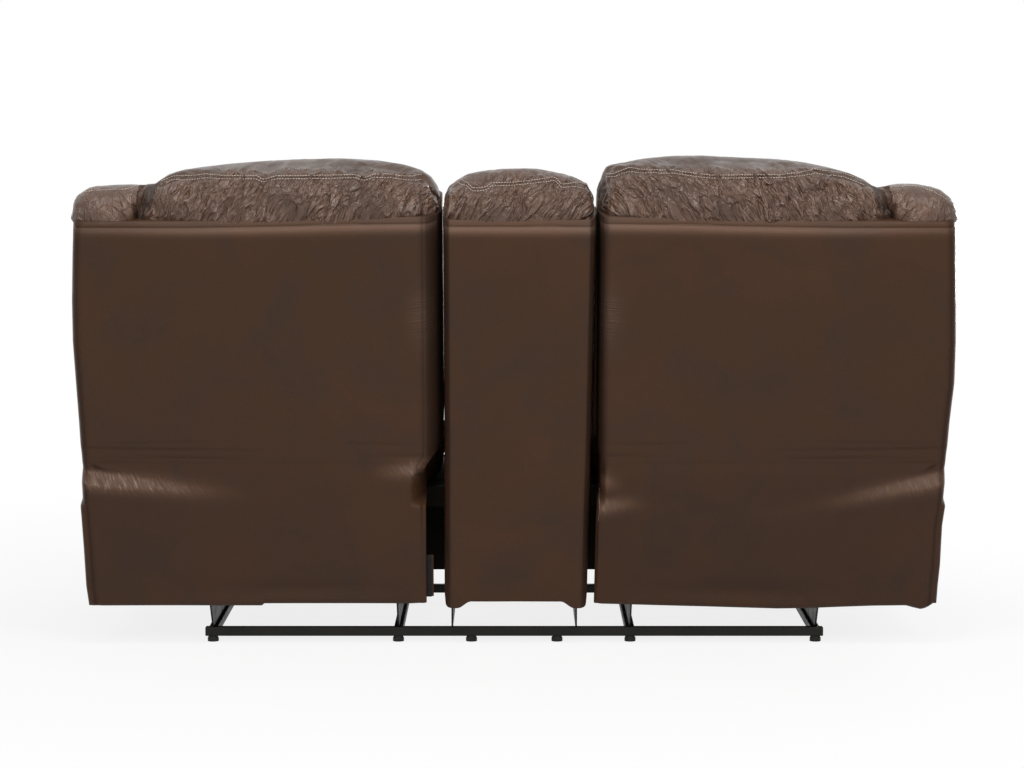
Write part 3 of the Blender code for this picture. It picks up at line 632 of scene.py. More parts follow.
def maths(tree, operation, first, second=0.0):
    """Result of one sum."""
    return add_node(tree, "ShaderNodeMath", {0: first, 1: second}, operation=operation).outputs[0]


def ranged(tree, value, low, high, to_low=0.0, to_high=1.0):
    """Value carried from one range to another and kept inside it."""
    inputs = {"Value": value, "From Min": low, "From Max": high, "To Min": to_low, "To Max": to_high}
    return add_node(tree, "ShaderNodeMapRange", inputs).outputs[0]


def cloudy(tree, place, scale, detail=3.0, distortion=0.0):
    """Cloudy noise from 0 to 1."""
    inputs = {"Vector": place, "Scale": scale, "Detail": detail, "Distortion": distortion}
    return add_node(tree, "ShaderNodeTexNoise", inputs).outputs[0]


def new_material(name):
    """Material with its tree and its main shader."""
    material = bpy.data.materials.new(name)
    material.use_nodes = True
    return material, material.node_tree, material.node_tree.nodes["Principled BSDF"]


def object_place(tree, stretch=(1.0, 1.0, 1.0)):
    """Place on the object, stretched along each axis."""
    coordinates = add_node(tree, "ShaderNodeTexCoord").outputs["Object"]
    return add_node(tree, "ShaderNodeMapping", {"Vector": coordinates, "Scale": stretch}).outputs[0]


def bumped(tree, shader, height, depth, strength=1.0, under=None):
    """Bump on a shader's surface."""
    inputs = {"Height": height, "Distance": depth, "Strength": strength}
    if under is not None:
        inputs["Normal"] = under
    normal = add_node(tree, "ShaderNodeBump", inputs).outputs[0]
    tree.links.new(normal, shader.inputs["Normal"])
    return normal


def make_leather(name, wrinkle_depth, gloss, shine, fineness, streaks):
    """Mottled brown pebbled leather with fine wrinkles, painted shade and highlights as strong as streaks
    says.
    """
    hide = bpy.context.scene.loveseat_leather
    material, tree, shader = new_material(name)
    place = object_place(tree)
    drift = cloudy(tree, place, 3.2, detail=6.0, distortion=0.4)
    patches = cloudy(tree, place, 9.0, detail=8.0, distortion=0.6)
    colour = mixed(tree, ranged(tree, drift, 0.44, 0.74), tuple(hide.ground), tuple(hide.warm))
    colour = mixed(tree, ranged(tree, patches, 0.47, 0.72, 0.0, 0.85), colour, tuple(hide.cool))
    stroke, wrinkled, rubbed, creased = (
        add_node(tree, "ShaderNodeAttribute", attribute_name=kind).outputs
        for kind in ("stroke", "wrinkled", "rubbed", "creased")
    )
    course = add_node(tree, "ShaderNodeMapping", {"Vector": stroke["Vector"], "Scale": fineness}).outputs[0]
    fold = cloudy(tree, course, 1.0, detail=2.0, distortion=0.8)
    colour = mixed(tree, maths(tree, "MULTIPLY", wrinkled["Fac"], 0.6), colour, tuple(hide.warm))
    # Painted shade in the valleys between the wrinkles.
    low = maths(tree, "MULTIPLY", wrinkled["Fac"], ranged(tree, fold, 0.30, 0.44, 0.6 * streaks, 0.0))
    colour = mixed(tree, low, colour, PAINTED_SHADE_BROWN)
    raised_streak = maths(tree, "MULTIPLY", ranged(tree, fold, 0.32, 0.70), wrinkled["Fac"])
    # Tan of the pulled-up leather together with painted sheen, weaker between the wrinkles.
    between = maths(tree, "MULTIPLY", wrinkled["Fac"], ranged(tree, fold, 0.38, 0.56, 0.75 * streaks, 0.0))
    light = maths(tree, "MULTIPLY", rubbed["Fac"], maths(tree, "SUBTRACT", 1.0, between))
    colour = mixed(tree, maths(tree, "MULTIPLY", light, 0.65), colour, tuple(hide.rubbed))
    # Painted highlight: pale streaks on the sharpest wrinkles.
    pale = ranged(tree, fold, 0.56, 0.68)
    highlight_share = maths(tree, "MULTIPLY", maths(tree, "MULTIPLY", light, wrinkled["Fac"]), pale)
    colour = mixed(tree, maths(tree, "MULTIPLY", highlight_share, 0.52 * streaks), colour, tuple(hide.painted_highlight))
    # Painted shade where the painted shade mark is set.
    colour = mixed(tree, maths(tree, "MULTIPLY", creased["Fac"], 0.75), colour, PAINTED_SHADE_BROWN)
    tree.links.new(colour, shader.inputs["Base Color"])
    wear = cloudy(tree, place, 28.0, detail=4.0)
    dull = ranged(tree, wear, 0.3, 0.7, gloss - 0.05, gloss + 0.09)
    dull = maths(tree, "SUBTRACT", dull, maths(tree, "MULTIPLY", raised_streak, 0.10))
    # The leather is also rougher where shade is painted.
    dull = maths(tree, "ADD", dull, maths(tree, "MULTIPLY", creased["Fac"], 0.35))
    tree.links.new(dull, shader.inputs["Roughness"])
    shader.inputs["Specular IOR Level"].default_value = shine
    normal = bumped(tree, shader, raised_streak, wrinkle_depth)
    pebbles = add_node(
        tree, "ShaderNodeTexVoronoi", {"Vector": place, "Scale": 1 / hide.pebble, "Randomness": 1.0},
    ).outputs["Distance"]
    bumped(tree, shader, pebbles, 0.00035, 0.55, under=normal)
    return material


def make_plain(name, colour, dark, scale, roughness, depth):
    """Hard finish with a faint uneven colour, an uneven shine and a fine texture."""
    material, tree, shader = new_material(name)
    place = object_place(tree)
    clouds = cloudy(tree, place, scale / 6, detail=4.0)
    colour = mixed(tree, ranged(tree, clouds, 0.35, 0.7), colour, dark)
    tree.links.new(colour, shader.inputs["Base Color"])
    wear = cloudy(tree, place, scale / 2, detail=5.0)
    dull = ranged(tree, wear, 0.3, 0.7, roughness - 0.07, roughness + 0.08)
    tree.links.new(dull, shader.inputs["Roughness"])
    shader.inputs["Specular IOR Level"].default_value = 0.18
    bumped(tree, shader, cloudy(tree, place, scale * 4, detail=2.0), depth)
    return material


def make_plywood():
    """Dark stained plywood with long grain."""
    material, tree, shader = new_material("Stained plywood")
    place = object_place(tree, (1.0, 9.0, 9.0))
    grain = cloudy(tree, place, 14.0, detail=6.0, distortion=1.2)
    dark, light = (0.012, 0.010, 0.008, 1.0), (0.020, 0.016, 0.012, 1.0)
    colour = mixed(tree, ranged(tree, grain, 0.35, 0.65), dark, light)
    tree.links.new(colour, shader.inputs["Base Color"])
    tree.links.new(ranged(tree, grain, 0.3, 0.7, 0.55, 0.75), shader.inputs["Roughness"])
    shader.inputs["Specular IOR Level"].default_value = 0.10
    bumped(tree, shader, grain, 0.0004)
    return material


def make_thread():
    """Pale twisted thread."""
    material, tree, shader = new_material("Pale thread")
    sewing = bpy.context.scene.loveseat_seams
    place = object_place(tree)
    tone = cloudy(tree, place, 160.0, detail=2.0)
    darker = tuple(0.62 * value for value in sewing.colour[:3]) + (1.0,)
    colour = mixed(tree, ranged(tree, tone, 0.3, 0.7), tuple(sewing.colour), darker)
    tree.links.new(colour, shader.inputs["Base Color"])
    shader.inputs["Roughness"].default_value = 0.7
    bumped(tree, shader, cloudy(tree, place, 2200.0), 0.0002)
    return material


def finish(name):
    """Material by name, made when it is first asked for."""
    makers = {
        "Smooth leather": lambda: make_leather("Smooth leather", 0.0011, 0.42, 0.15, FINE_STROKES, 1.0),
        "Crushed leather": lambda: make_leather("Crushed leather", 0.0105, 0.30, 0.42, BROAD_STROKES, 0.40),
        "Black paint": lambda: make_plain(
            "Black paint", (0.013, 0.012, 0.009, 1.0), (0.008, 0.008, 0.007, 1.0), 60.0, 0.48, 0.00006),
        "Glide plastic": lambda: make_plain(
            "Glide plastic", (0.014, 0.014, 0.013, 1.0), (0.022, 0.021, 0.019, 1.0), 120.0, 0.58, 0.0001),
        "Moulded plastic": lambda: make_plain(
            "Moulded plastic", (0.020, 0.018, 0.016, 1.0), (0.028, 0.025, 0.022, 1.0), 240.0, 0.48, 0.0002),
        "Dust cloth": lambda: make_plain(
            "Dust cloth", (0.010, 0.010, 0.010, 1.0), (0.017, 0.016, 0.016, 1.0), 420.0, 0.85, 0.0004),
        "Stained plywood": make_plywood,
        "Pale thread": make_thread,
    }
    return bpy.data.materials.get(name) or makers[name]()


def stitch_tree():
    """Nodes that set one stitch after another along each line of a mesh."""
    known = bpy.data.node_groups.get("Sewn row")
    if known:
        return known
    tree = bpy.data.node_groups.new("Sewn row", "GeometryNodeTree")
    face = tree.interface
    face.new_socket("Geometry", in_out="INPUT", socket_type="NodeSocketGeometry")
    for name in ("Stitch", "Pitch", "Thread"):
        face.new_socket(name, in_out="INPUT", socket_type="NodeSocketFloat")
    face.new_socket("Finish", in_out="INPUT", socket_type="NodeSocketMaterial")
    face.new_socket("Geometry", in_out="OUTPUT", socket_type="NodeSocketGeometry")
    given = tree.nodes.new("NodeGroupInput").outputs
    line = add_node(tree, "GeometryNodeMeshToCurve", {"Mesh": given["Geometry"]}).outputs[0]
    spacing = {"Curve": line, "Length": given["Pitch"]}
    holes = add_node(tree, "GeometryNodeCurveToPoints", spacing, mode="LENGTH").outputs
    course = {"Vector": holes["Tangent"]}
    turn = add_node(tree, "FunctionNodeAlignRotationToVector", course, axis="Z").outputs[0]
    width = maths(tree, "MULTIPLY", given["Thread"], 0.5)
    length = maths(tree, "MULTIPLY", given["Stitch"], 0.5)
    scale = add_node(tree, "ShaderNodeCombineXYZ", {"X": width, "Y": width, "Z": length}).outputs[0]
    bead = add_node(tree, "GeometryNodeMeshUVSphere", {"Segments": 6, "Rings": 4, "Radius": 1.0}).outputs[0]
    stitch = add_node(tree, "GeometryNodeTransform", {"Geometry": bead, "Scale": scale}).outputs[0]
    sewn_spots = {"Points": holes[0], "Instance": stitch, "Rotation": turn}
    row = add_node(tree, "GeometryNodeInstanceOnPoints", sewn_spots).outputs[0]
    solid = add_node(tree, "GeometryNodeRealizeInstances", {0: row}).outputs[0]
    dressing = {"Geometry": solid, "Material": given["Finish"]}
    dressed = add_node(tree, "GeometryNodeSetMaterial", dressing).outputs[0]
    add_node(tree, "NodeGroupOutput", {0: dressed})
    return tree


def sewn(name, rows, body, size=1.0):
    """Piece with a row of stitches along each line of places, riding on a body."""
    sewing = bpy.context.scene.loveseat_seams
    points = np.vstack(rows)
    ends = np.cumsum([len(row) for row in rows])
    edges = [(k, k + 1) for k in range(len(points) - 1) if k + 1 not in ends]
    path = bpy.data.meshes.new(name)
    path.from_pydata(points.tolist(), edges, [])
    tree = stitch_tree()

    def stitch(holder):
        modifier = holder.modifiers.new("Stitches", "NODES")
        modifier.node_group = tree
        sizes = {"Stitch": sewing.stitch, "Pitch": sewing.pitch, "Thread": sewing.thread}
        for item in tree.interface.items_tree:
            if item.name in sizes:
                modifier[item.identifier] = sizes[item.name] * size
            if item.name == "Finish":
                modifier[item.identifier] = finish("Pale thread")

    piece = piece_from(modified(path, stitch), name, 1, finish("Pale thread"))
    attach(piece, body)
    return piece


def landed(piece, starts, direction):
    """Places where lines from a set of starts first meet a piece's surface."""
    mesh = piece.data
    tree = BVHTree.FromPolygons(places(mesh).tolist(), [tuple(face.vertices) for face in mesh.polygons])
    found = []
    for start in starts:
        reach = tree.ray_cast(Vector(start), Vector(direction))[3]
        if reach is not None:
            found.append((*start, reach))
    if len(found) < 9:
        raise RuntimeError(f"the sewn row on {piece.name} misses its leather")
    found = np.array(found)
    near = np.lib.stride_tricks.sliding_window_view(np.pad(found[:, 3], 3, mode="edge"), 7)
    return found[:, :3] + np.outer(np.median(near, axis=1) - STITCH_LIFT, direction)


def slab(inside, outside, front, heights, rounds, cells=120, powers=(1.7, 2.4)):
    """Leaning slab with round upright edges: its places, its faces, and how far each is on the rear."""
    edge = np.linspace(-1, 0, 12)
    spans = np.concatenate((edge, np.linspace(0, 1, cells)[1:-1], -edge[::-1] + 1))
    points, faces = hull(spans, np.linspace(-1, 1, 11), heights)
    span, depths, height = points.T
    end = np.where(span < 0, -span, np.maximum(span - 1, 0.0))
    back = (depths + 1) / 2
    power = np.where(span < 0, powers[0], powers[1])
    largest = np.maximum(np.maximum(end, back), 1e-9)
    reach = ((end / largest) ** power + (back / largest) ** power) ** (1 / power)
    reach = np.where(reach > 0, reach, 1.0)
    turn = end / reach
    low, high = along(inside, height) + rounds[0], along(outside, height) - rounds[1]
    across = low + (high - low) * np.clip(span, 0.0, 1.0)
    across = across + np.where(span < 0, -turn * rounds[0], turn * rounds[1])
    near = front(height)
    depth = near + back / reach * (BACK_REAR - near)
    return np.column_stack((across, depth, height)), faces, ease(depths)


def ledge(across, height):
    """How far the rolled ledge along the top of a back falls in behind its panel."""
    level = height - 0.0022 * flat_ripple(17, across * 9)
    share = np.clip((level - LEDGE_FOOT) / (LEDGE_CREASE - LEDGE_FOOT), 0.0, 1.0)
    strip = np.clip((level - LEDGE_CREASE) / (BACK_TOP - LEDGE_CREASE), 0.0, 1.0)
    roll = 0.008 * (1 - np.sqrt(1 - share ** 2))
    return roll + 0.0015 * hump(level - LEDGE_CREASE, 0.002) + 0.004 * strip ** 2


def ledge_painted_highlight(across, height):
    """Painted highlight on the ledge: its strip, the top of the panel's roll, and a thin line at its crease.
    """
    rise = height - LEDGE_CREASE + 0.005
    roll = hump(rise, np.where(rise > 0, 0.005, 0.011))
    bands = 0.34 * ease((height - LEDGE_CREASE) / 0.004) + 0.66 * roll
    inner = ease((0.97 - np.abs(across)) / 0.42)
    return bands * (0.25 + 0.75 * inner) + 0.35 * hump(height - LEDGE_CREASE + 0.001, 0.0018)


def skirt_swell(side, across, height):
    """Swell of the folds below the hinge, and how strongly the leather is crushed there."""
    swell = np.zeros(len(across))
    crushed = np.zeros(len(across))
    for (x_from, h_from), (x_to, h_to), start, end in SKIRT_FOLDS[side]:
        share = (across - x_from) / (x_to - x_from)
        line = h_from + (h_to - h_from) * np.clip(share, 0.0, 1.2)
        amount = (start + (end - start) * ease(share)) * (1 - ease((share - 1) / 0.6))
        drop = line - height + 0.004 * flat_ripple(11, across * 14, height * 6)
        swell += amount * ease((drop + 0.006) / 0.030) * np.exp(-np.maximum(drop - 0.024, 0.0) / 0.085)
        swell -= 0.25 * amount * hump(drop + 0.008, 0.008) * (1 - ease(share / 0.4))
        crushed = np.maximum(crushed, amount / 0.016 * hump(drop - 0.010, 0.020))
    return swell, np.clip(crushed, 0.0, 1.0)


def back_cover(side):
    """Leather cover of one back: rear panel with its ledge, soft sides, and the skirt below the hinge."""
    heights = np.concatenate((
        np.linspace(SKIRT_FOOT, -0.270, 8), np.linspace(-0.263, -0.120, 22),
        np.linspace(-0.1165, 0.1000, 62), np.linspace(0.108, LEDGE_FOOT - 0.020, 44),
        np.linspace(LEDGE_FOOT - 0.017, BACK_TOP, 24),
    ))
    edges, insides, inner_round = BACK_EDGES[side], BACK_INSIDES[side], INNER_ROUNDS[side]

    def front(height):
        barrel = -np.sqrt(np.maximum(BARREL ** 2 - height ** 2, 0.0))
        body = np.where(height > 0, np.minimum(barrel, BACK_FRONT), barrel)
        flap = BACK_REAR - SKIRT_THICKNESS
        return body + (flap - body) * ease((-0.056 - height) / 0.016)

    points, faces, rear = slab(insides, edges, front, heights, (inner_round, OUTER_ROUND))
    across, depth, height = points.T.copy()
    inner = along(insides, height) + inner_round * ease((height + 0.03) / 0.06)
    outer = along(edges, height) - OUTER_ROUND
    groove = np.maximum(hump(across - inner, GROOVE_HALF_WIDTH), hump(across - outer, GROOVE_HALF_WIDTH))
    swell, crushed = skirt_swell(side, across, height)
    lines = np.zeros(len(across))
    for number, level in enumerate(PANEL_CREASES):
        bend = level + 0.010 * flat_ripple(20 + number, across * 3.0)
        strength = ease(flat_ripple(30 + number, across * 5.0) + 0.35)
        lines = np.maximum(lines, hump(height - bend, 0.0030) * strength)
    pull = hump(across - inner, 0.030) * hump(height - 0.36, 0.060)
    uneven = flat_ripple(5 + len(side), across * 5, height * 4)
    trough = 0.006 * hump(height + 0.262, 0.018) * hump(across - 0.50, 0.20)
    # Painted highlight along the ledge.
    shine = ledge_painted_highlight(across, height)
    detail = swell + 0.0017 * uneven - 0.0010 * lines - 0.0022 * groove - trough - ledge(across, height)
    hem = ease((SKIRT_FOOT + 0.007 - height) / 0.007)
    depth = depth + (detail - 0.005 * hem) * rear
    height = height - along(SKIRT_HEMS[side], across) * ease((-0.20 - height) / 0.09)
    height = height + 0.009 * ease((height - 0.50) / 0.05) * (0.7 - ease((across - 0.16) / 0.60))
    mesh = mesh_from(lean(np.column_stack((across, depth, height))), faces)
    slant = np.where(height > 0.15, 3.0, SKIRT_SLANTS[side])
    pinch = hump(across - 0.915, 0.014) * hump(height - 0.022 - 0.5 * (across - 0.915), 0.005)
    strength = np.maximum(SKIRT_STROKES[side] * crushed, 0.7 * pull) * rear
    mark_strokes(mesh, across * np.where(height > 0.15, 0.3, 1.0) + slant * height, height, strength)
    # Tan of the pulled-up folds with painted sheen on them, and painted highlight on the ledge.
    mark(mesh, "rubbed", ((0.45 + 0.45 * SKIRT_STROKES[side]) * crushed + shine + 0.2 * pull) * rear)
    # Painted shade on the edge turned in beside the console, in the grooves, creases and pinch, and on the
    # lower skirt.
    turned = 0.75 * ease((inner - across) / 0.008) * ease((height - 0.03) / 0.03)
    shade = SKIRT_SHADES[side] * ease((0.03 - height) / 0.06) * (1 - crushed)
    mark(mesh, "creased", np.maximum.reduce((groove * 0.7, lines * 0.5, 0.9 * pinch, shade)) * rear)
    paint_shade(mesh, turned)
    return mesh


def fitted(mesh, crest):
    """Bring the crown of a swollen pad to a table's heights, as seen level."""
    points = places(mesh)
    across, depth, height = points.T
    level = height - (depth - CREST_DEPTH) * math.tan(LEAN)
    marks = np.linspace(across.min(), across.max(), CREST_BINS + 1)
    bins = np.clip(np.digitize(across, marks) - 1, 0, CREST_BINS - 1)
    tops = np.full(CREST_BINS, BACK_TOP)
    np.maximum.at(tops, bins, level)
    tops = np.convolve(np.pad(tops, 2, mode="edge"), np.ones(5) / 5, "valid")
    crown = np.interp(across, (marks[:-1] + marks[1:]) / 2, tops) - BACK_TOP
    wanted = along(crest, across)
    lift = level - BACK_TOP
    stretch = np.clip((wanted - BACK_TOP) / np.maximum(crown, 0.01), 1.0, 1.3)
    level = np.where(lift > 0, BACK_TOP + lift * stretch, level)
    limit = wanted + CREST_SOFTNESS / 3
    capped = limit - CREST_SOFTNESS * np.log1p(np.exp((limit - level) / CREST_SOFTNESS))
    points[:, 2] = capped + (depth - CREST_DEPTH) * math.tan(LEAN)
    put(mesh, points)


def raised(points, crest, top):
    """Pillow's points with its crest brought to a table's heights."""
    share = (along(crest, points[:, 0]) - BACK_TOP) / (top - BACK_TOP)
    above = points[:, 2] > BACK_TOP
    points[above, 2] = BACK_TOP + (points[above, 2] - BACK_TOP) * share[above]
    return points


def seated(mesh):
    """Keep a pillow's points out of the back that it sits over, apart from its tucked foot."""
    points = places(mesh)
    over = PILLOW_TUCK - points[:, 2]
    behind = points[:, 1] - BACK_FRONT
    inside = (over > 0) & (behind > 0)
    lift = inside & (over < behind)
    points[lift, 2] = PILLOW_TUCK
    points[inside & ~lift, 1] = BACK_FRONT
    put(mesh, points)


def crush(mesh, strength, seed, coarse=0.0034, slant=0.5):
    """Wrinkle a cover: ridges that run up it, as strong as given at each point, with fine ones between."""
    points = places(mesh)
    across, depth, height = points.T
    run = across + slant * (height - depth * 0.4) + 0.010 * ripple(points * 14, seed + 1)
    wander = 0.012 * ripple(points * 22, seed + 4)
    up = height - 0.35 * depth + wander
    wide = crinkle(spots_at(run, up, depth) * WIDE_RIDGES, seed)
    small = crinkle(spots_at(run, up, depth) * SMALL_RIDGES, seed + 2)
    patch = ease(0.60 + 0.9 * ripple(points * 13, seed + 3))
    ridges = strength * patch
    push(mesh, ridges * coarse * (wide - 0.35 + 0.6 * (small - 0.3)))
    mark_strokes(mesh, run, height - depth + wander, strength ** 1.7 * (0.45 + 0.55 * patch))
    # Tan of the pulled-up ridges with painted sheen on them, and painted shade between the ridges.
    mark(mesh, "rubbed", strength * (0.30 + 0.70 * patch))
    mark(mesh, "creased", ridges * 0.5 * (1 - np.maximum(wide, small)) ** 3)


def marked(mesh, name):
    """Values that were kept at each point, or zeros."""
    values = np.zeros(len(mesh.vertices))
    layer = mesh.attributes.get(name)
    if layer:
        layer.data.foreach_get("value", values)
    return values


def paint_shade(mesh, shade):
    """Paint shade on a cover wherever its painted shade is lighter than the given shade."""
    mark(mesh, "creased", np.maximum(marked(mesh, "creased"), shade))


def seam(mesh, distance, depth=0.0028, width=GROOVE_HALF_WIDTH):
    """Pull a sewn line into a cover, given each point's distance from it, and paint shade in its groove."""
    groove = hump(distance, width)
    push(mesh, -depth * groove)
    paint_shade(mesh, 0.55 * groove)


def cleft(across, height):
    """How far a point is outside the line where a head pillow meets its wing."""
    return across - CLEFT_PLACE - CLEFT_SLANT * (BACK_TOP - height)


def head_pillow(side):
    """Head pillow of one seat: a gathered rear face under a double seam, and a soft crown."""
    line, inside = PILLOW_SEAMS[side], INNER_ENDS[side]
    points, faces = lofted(inside + 0.008, PILLOW_OUTER_END, PILLOW_OUTLINE, FORM_CELL, power=4.5)
    points = raised(points, PILLOW_CRESTS[side], PILLOW_TOP)
    foot = 1 - np.clip((points[:, 2] - BACK_TOP) / 0.07, 0.0, 1.0)
    points[:, 0] += 0.062 * ease((points[:, 0] - 0.60) / 0.16) * foot * (points[:, 1] > BACK_FRONT - 0.02)
    mesh = mesh_from(points, faces)

    def held(spots):
        across, depth, height = spots.T
        sewn_line = hump(height - along(line, across), 0.006) * (depth > 0.0)
        foot = (height < BACK_TOP + 0.004) & (depth > BACK_FRONT - 0.01)
        return np.where(foot, 1.0, 0.9 * (sewn_line > 0.4))

    mesh = smoother(swollen(mesh, PILLOW_CELL, held, slack=0.05, cap=0.014))
    seated(mesh)
    kept(mesh, 0, low=inside)
    fitted(mesh, PILLOW_CRESTS[side])
    across, depth, height = places(mesh).T
    away = height - along(line, across)
    rear = ease((depth + 0.01) / 0.04)
    near = hump(away, 0.030) + hump(height - BACK_TOP, 0.045)
    for place, shift, deep in PILLOW_FOLDS[side]:
        course = place + shift * np.clip(-away / 0.07, -0.3, 1.0)
        reach = rear * ease((0.008 - away) / 0.012) * (1 - 0.5 * ease(-away / 0.08))
        push(mesh, -deep * hump(across - course, 0.007) * reach)
    crush(mesh, np.clip(0.16 + 0.84 * rear * (0.55 + near), 0.0, 1.0), 40 + SIDES[side])
    seam(mesh, np.where(depth > 0.0, away, 1.0))
    seam(mesh, np.where((depth > 0.0) & (away < 0.0), across - line[0][0] + 0.004, 1.0))
    # Painted shade in the cleft at the wing and on the end beside the console.
    behind = ease((depth + 0.04) / 0.03)
    paint_shade(mesh, 0.9 * behind * ease((cleft(across, height) + 0.012) / 0.008))
    paint_shade(mesh, 0.8 * ease((inside + 0.014 - across) / 0.010))
    put(mesh, lean(places(mesh)))
    return mesh


def back_gusset(side):
    """Leather side of a back's padding, beside the console."""
    points, faces = lofted(0.0, GUSSET_WIDTH, GUSSET, FORM_CELL, power=20)
    points[:, 0] += along(CONSOLE_EDGES[side], points[:, 2]) + CONSOLE_GAP
    mesh = mesh_from(points, faces)
    crush(mesh, np.full(len(mesh.vertices), 0.3), 150, coarse=0.0)
    put(mesh, lean(places(mesh)))
    return mesh


def wing_form():
    """Wing bolster over the outer corner of a back, before it is wrinkled."""
    points, faces = lofted(*WING_ENDS, WING_OUTLINE, FORM_CELL, power=4.0)
    points = raised(points, WING_CRESTS["left"], WING_TOP)
    foot = 1 - np.clip((points[:, 2] - BACK_TOP) / 0.06, 0.0, 1.0)
    behind = ease((points[:, 1] + 0.03) / 0.05)
    points[:, 0] += 0.030 * (1 - ease((points[:, 0] - WING_ENDS[0]) / 0.09)) * foot * behind

    def held(spots):
        depth, height = spots.T[1:]
        foot = (height < BACK_TOP + 0.008) & (depth > BACK_FRONT - 0.01)
        return np.where(foot | (depth > BACK_FRONT - 0.006) & (height < BACK_TOP), 1.0, 0.0)

    mesh = smoother(swollen(mesh_from(points, faces), WING_CELL, held, slack=0.03, cap=0.008))
    seated(mesh)
    kept(mesh, 0, high=WING_FOOT_END + 0.024 * ease((places(mesh)[:, 2] - BACK_TOP + 0.016) / 0.022))
    return mesh


def wing_bolster(form, side):
    """Wing bolster of one side, with its pleat beside the pillow."""
    mesh = form.copy()
    fitted(mesh, WING_CRESTS[side])
    across, depth, height = places(mesh).T
    pleat = across - (0.803 + 0.10 * (BACK_TOP + 0.06 - height))
    edges = hump(height - BACK_TOP, 0.03) + hump(across - 0.915, 0.03)
    strength = np.clip(0.30 + 0.7 * hump(pleat, 0.040) + 0.4 * edges, 0.0, 1.0)
    crush(mesh, strength * (0.25 + 0.75 * ease((depth + 0.05) / 0.05)), 60, slant=-0.15)
    # Painted highlight on the middle of the wing, added to its pulled-up tan and sheen.
    pull_up_and_wing_sheen = marked(mesh, "rubbed") + 0.55 * hump(across - 0.868, 0.034) * hump(height - 0.597, 0.024)
    mark(mesh, "rubbed", pull_up_and_wing_sheen)
    # Painted shade in the cleft beside the head pillow.
    behind = ease((depth + 0.04) / 0.03)
    paint_shade(mesh, 0.9 * behind * ease((0.010 - cleft(across, height)) / 0.008))
    seam(mesh, np.where(depth > -0.02, pleat, 1.0), depth=0.0055)
    put(mesh, lean(places(mesh)))
    return mesh


def soft_pad(ends, outline, cell, seed, pinned, power=7, cap=0.014, slack=0.01):
    """Crowned pad between two ends, flat where pinned says it rests."""
    points, faces = lofted(*ends, outline, cell * 1.3, power=power)
    mesh = swollen(mesh_from(points, faces), cell, pinned, slack=slack, cap=cap)
    crush(mesh, np.full(len(mesh.vertices), 0.35), seed, coarse=0.0014)
    return mesh


def lying_pad(level, *form, **fill):
    """Soft pad that lies on a level."""
    mesh = soft_pad(*form, lambda spots: (spots[:, 2] < level + 0.004).astype(float), **fill)
    kept(mesh, 2, low=level)
    return mesh


def leaning_pad(rear, *form, **fill):
    """Soft pad that leans on what is behind it."""
    mesh = soft_pad(*form, lambda spots: (spots[:, 1] > rear - 0.005).astype(float), **fill)
    kept(mesh, 1, high=rear)
    return mesh


def narrowed(mesh, side):
    """Copy of an inside back whose end beside the console is where that side's back ends."""
    copy = mesh.copy()
    points = places(copy)
    shift = INNER_ENDS[side] - INNER_ENDS["left"]
    points[:, 0] += shift * (1 - ease((points[:, 0] - INNER_ENDS["left"]) / 0.12))
    put(copy, points)
    return copy


def back_cushion():
    """Padded inside back of a seat."""
    mesh = leaning_pad(BACK_FRONT - 0.002, BACK_PAD_ENDS, BACK_PAD, 0.0075, 70, cap=0.022, slack=0.02)
    kept(mesh, 0, low=INNER_ENDS["left"])
    points = places(mesh)
    away = np.where(points[:, 1] < -0.06, points[:, 2] - BACK_PAD_SEAM, 1.0)
    seam(mesh, away, depth=0.006, width=0.009)
    put(mesh, lean(places(mesh)))
    return mesh


def seat_cushion():
    """Seat cushion with a rolled front."""
    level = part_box("left_seat_cushion")[0].z + PAD_GAP
    mesh = lying_pad(level, SEAT_ENDS, SEAT_PAD, 0.0080, 80, cap=0.022, slack=0.02)
    points = places(mesh)
    away = np.where(points[:, 2] > level + 0.06, points[:, 1] - SEAT_SEAM, 1.0)
    seam(mesh, away, depth=0.005, width=0.008)
    return mesh


def arm_pad():
    """Soft top of an arm."""
    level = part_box("left_arm_pad")[0].z + PAD_GAP
    return lying_pad(level, ARM_PAD_ENDS, ARM_PAD, 0.0070, 90, power=5, cap=0.010)


def footrest_pad():
    """Padded front of a footrest."""
    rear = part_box("left_footrest_pad")[1].y - PAD_GAP
    return leaning_pad(rear, FOOTREST_ENDS, FOOTREST_PAD, 0.0070, 100, cap=0.012)


def arm_cover():
    """Leather over an arm: flat sides with soft edges and a front panel seam."""
    points, faces = lofted(*ARM_ENDS, ARM_BODY, 0.0090, power=11)
    mesh = mesh_from(points, faces)
    depth = places(mesh)[:, 1]
    push(mesh, 0.0016 * ripple(places(mesh) * (9, 5, 5), 110))
    seam(mesh, depth - ARM_SEAM, depth=0.0025)
    return mesh


def lid_pad():
    """Padded lid of the console."""
    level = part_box("console_lid")[0].z + PAD_GAP
    return lying_pad(level, LID_ENDS, LID_PAD, 0.0060, 120, power=6, cap=0.008)


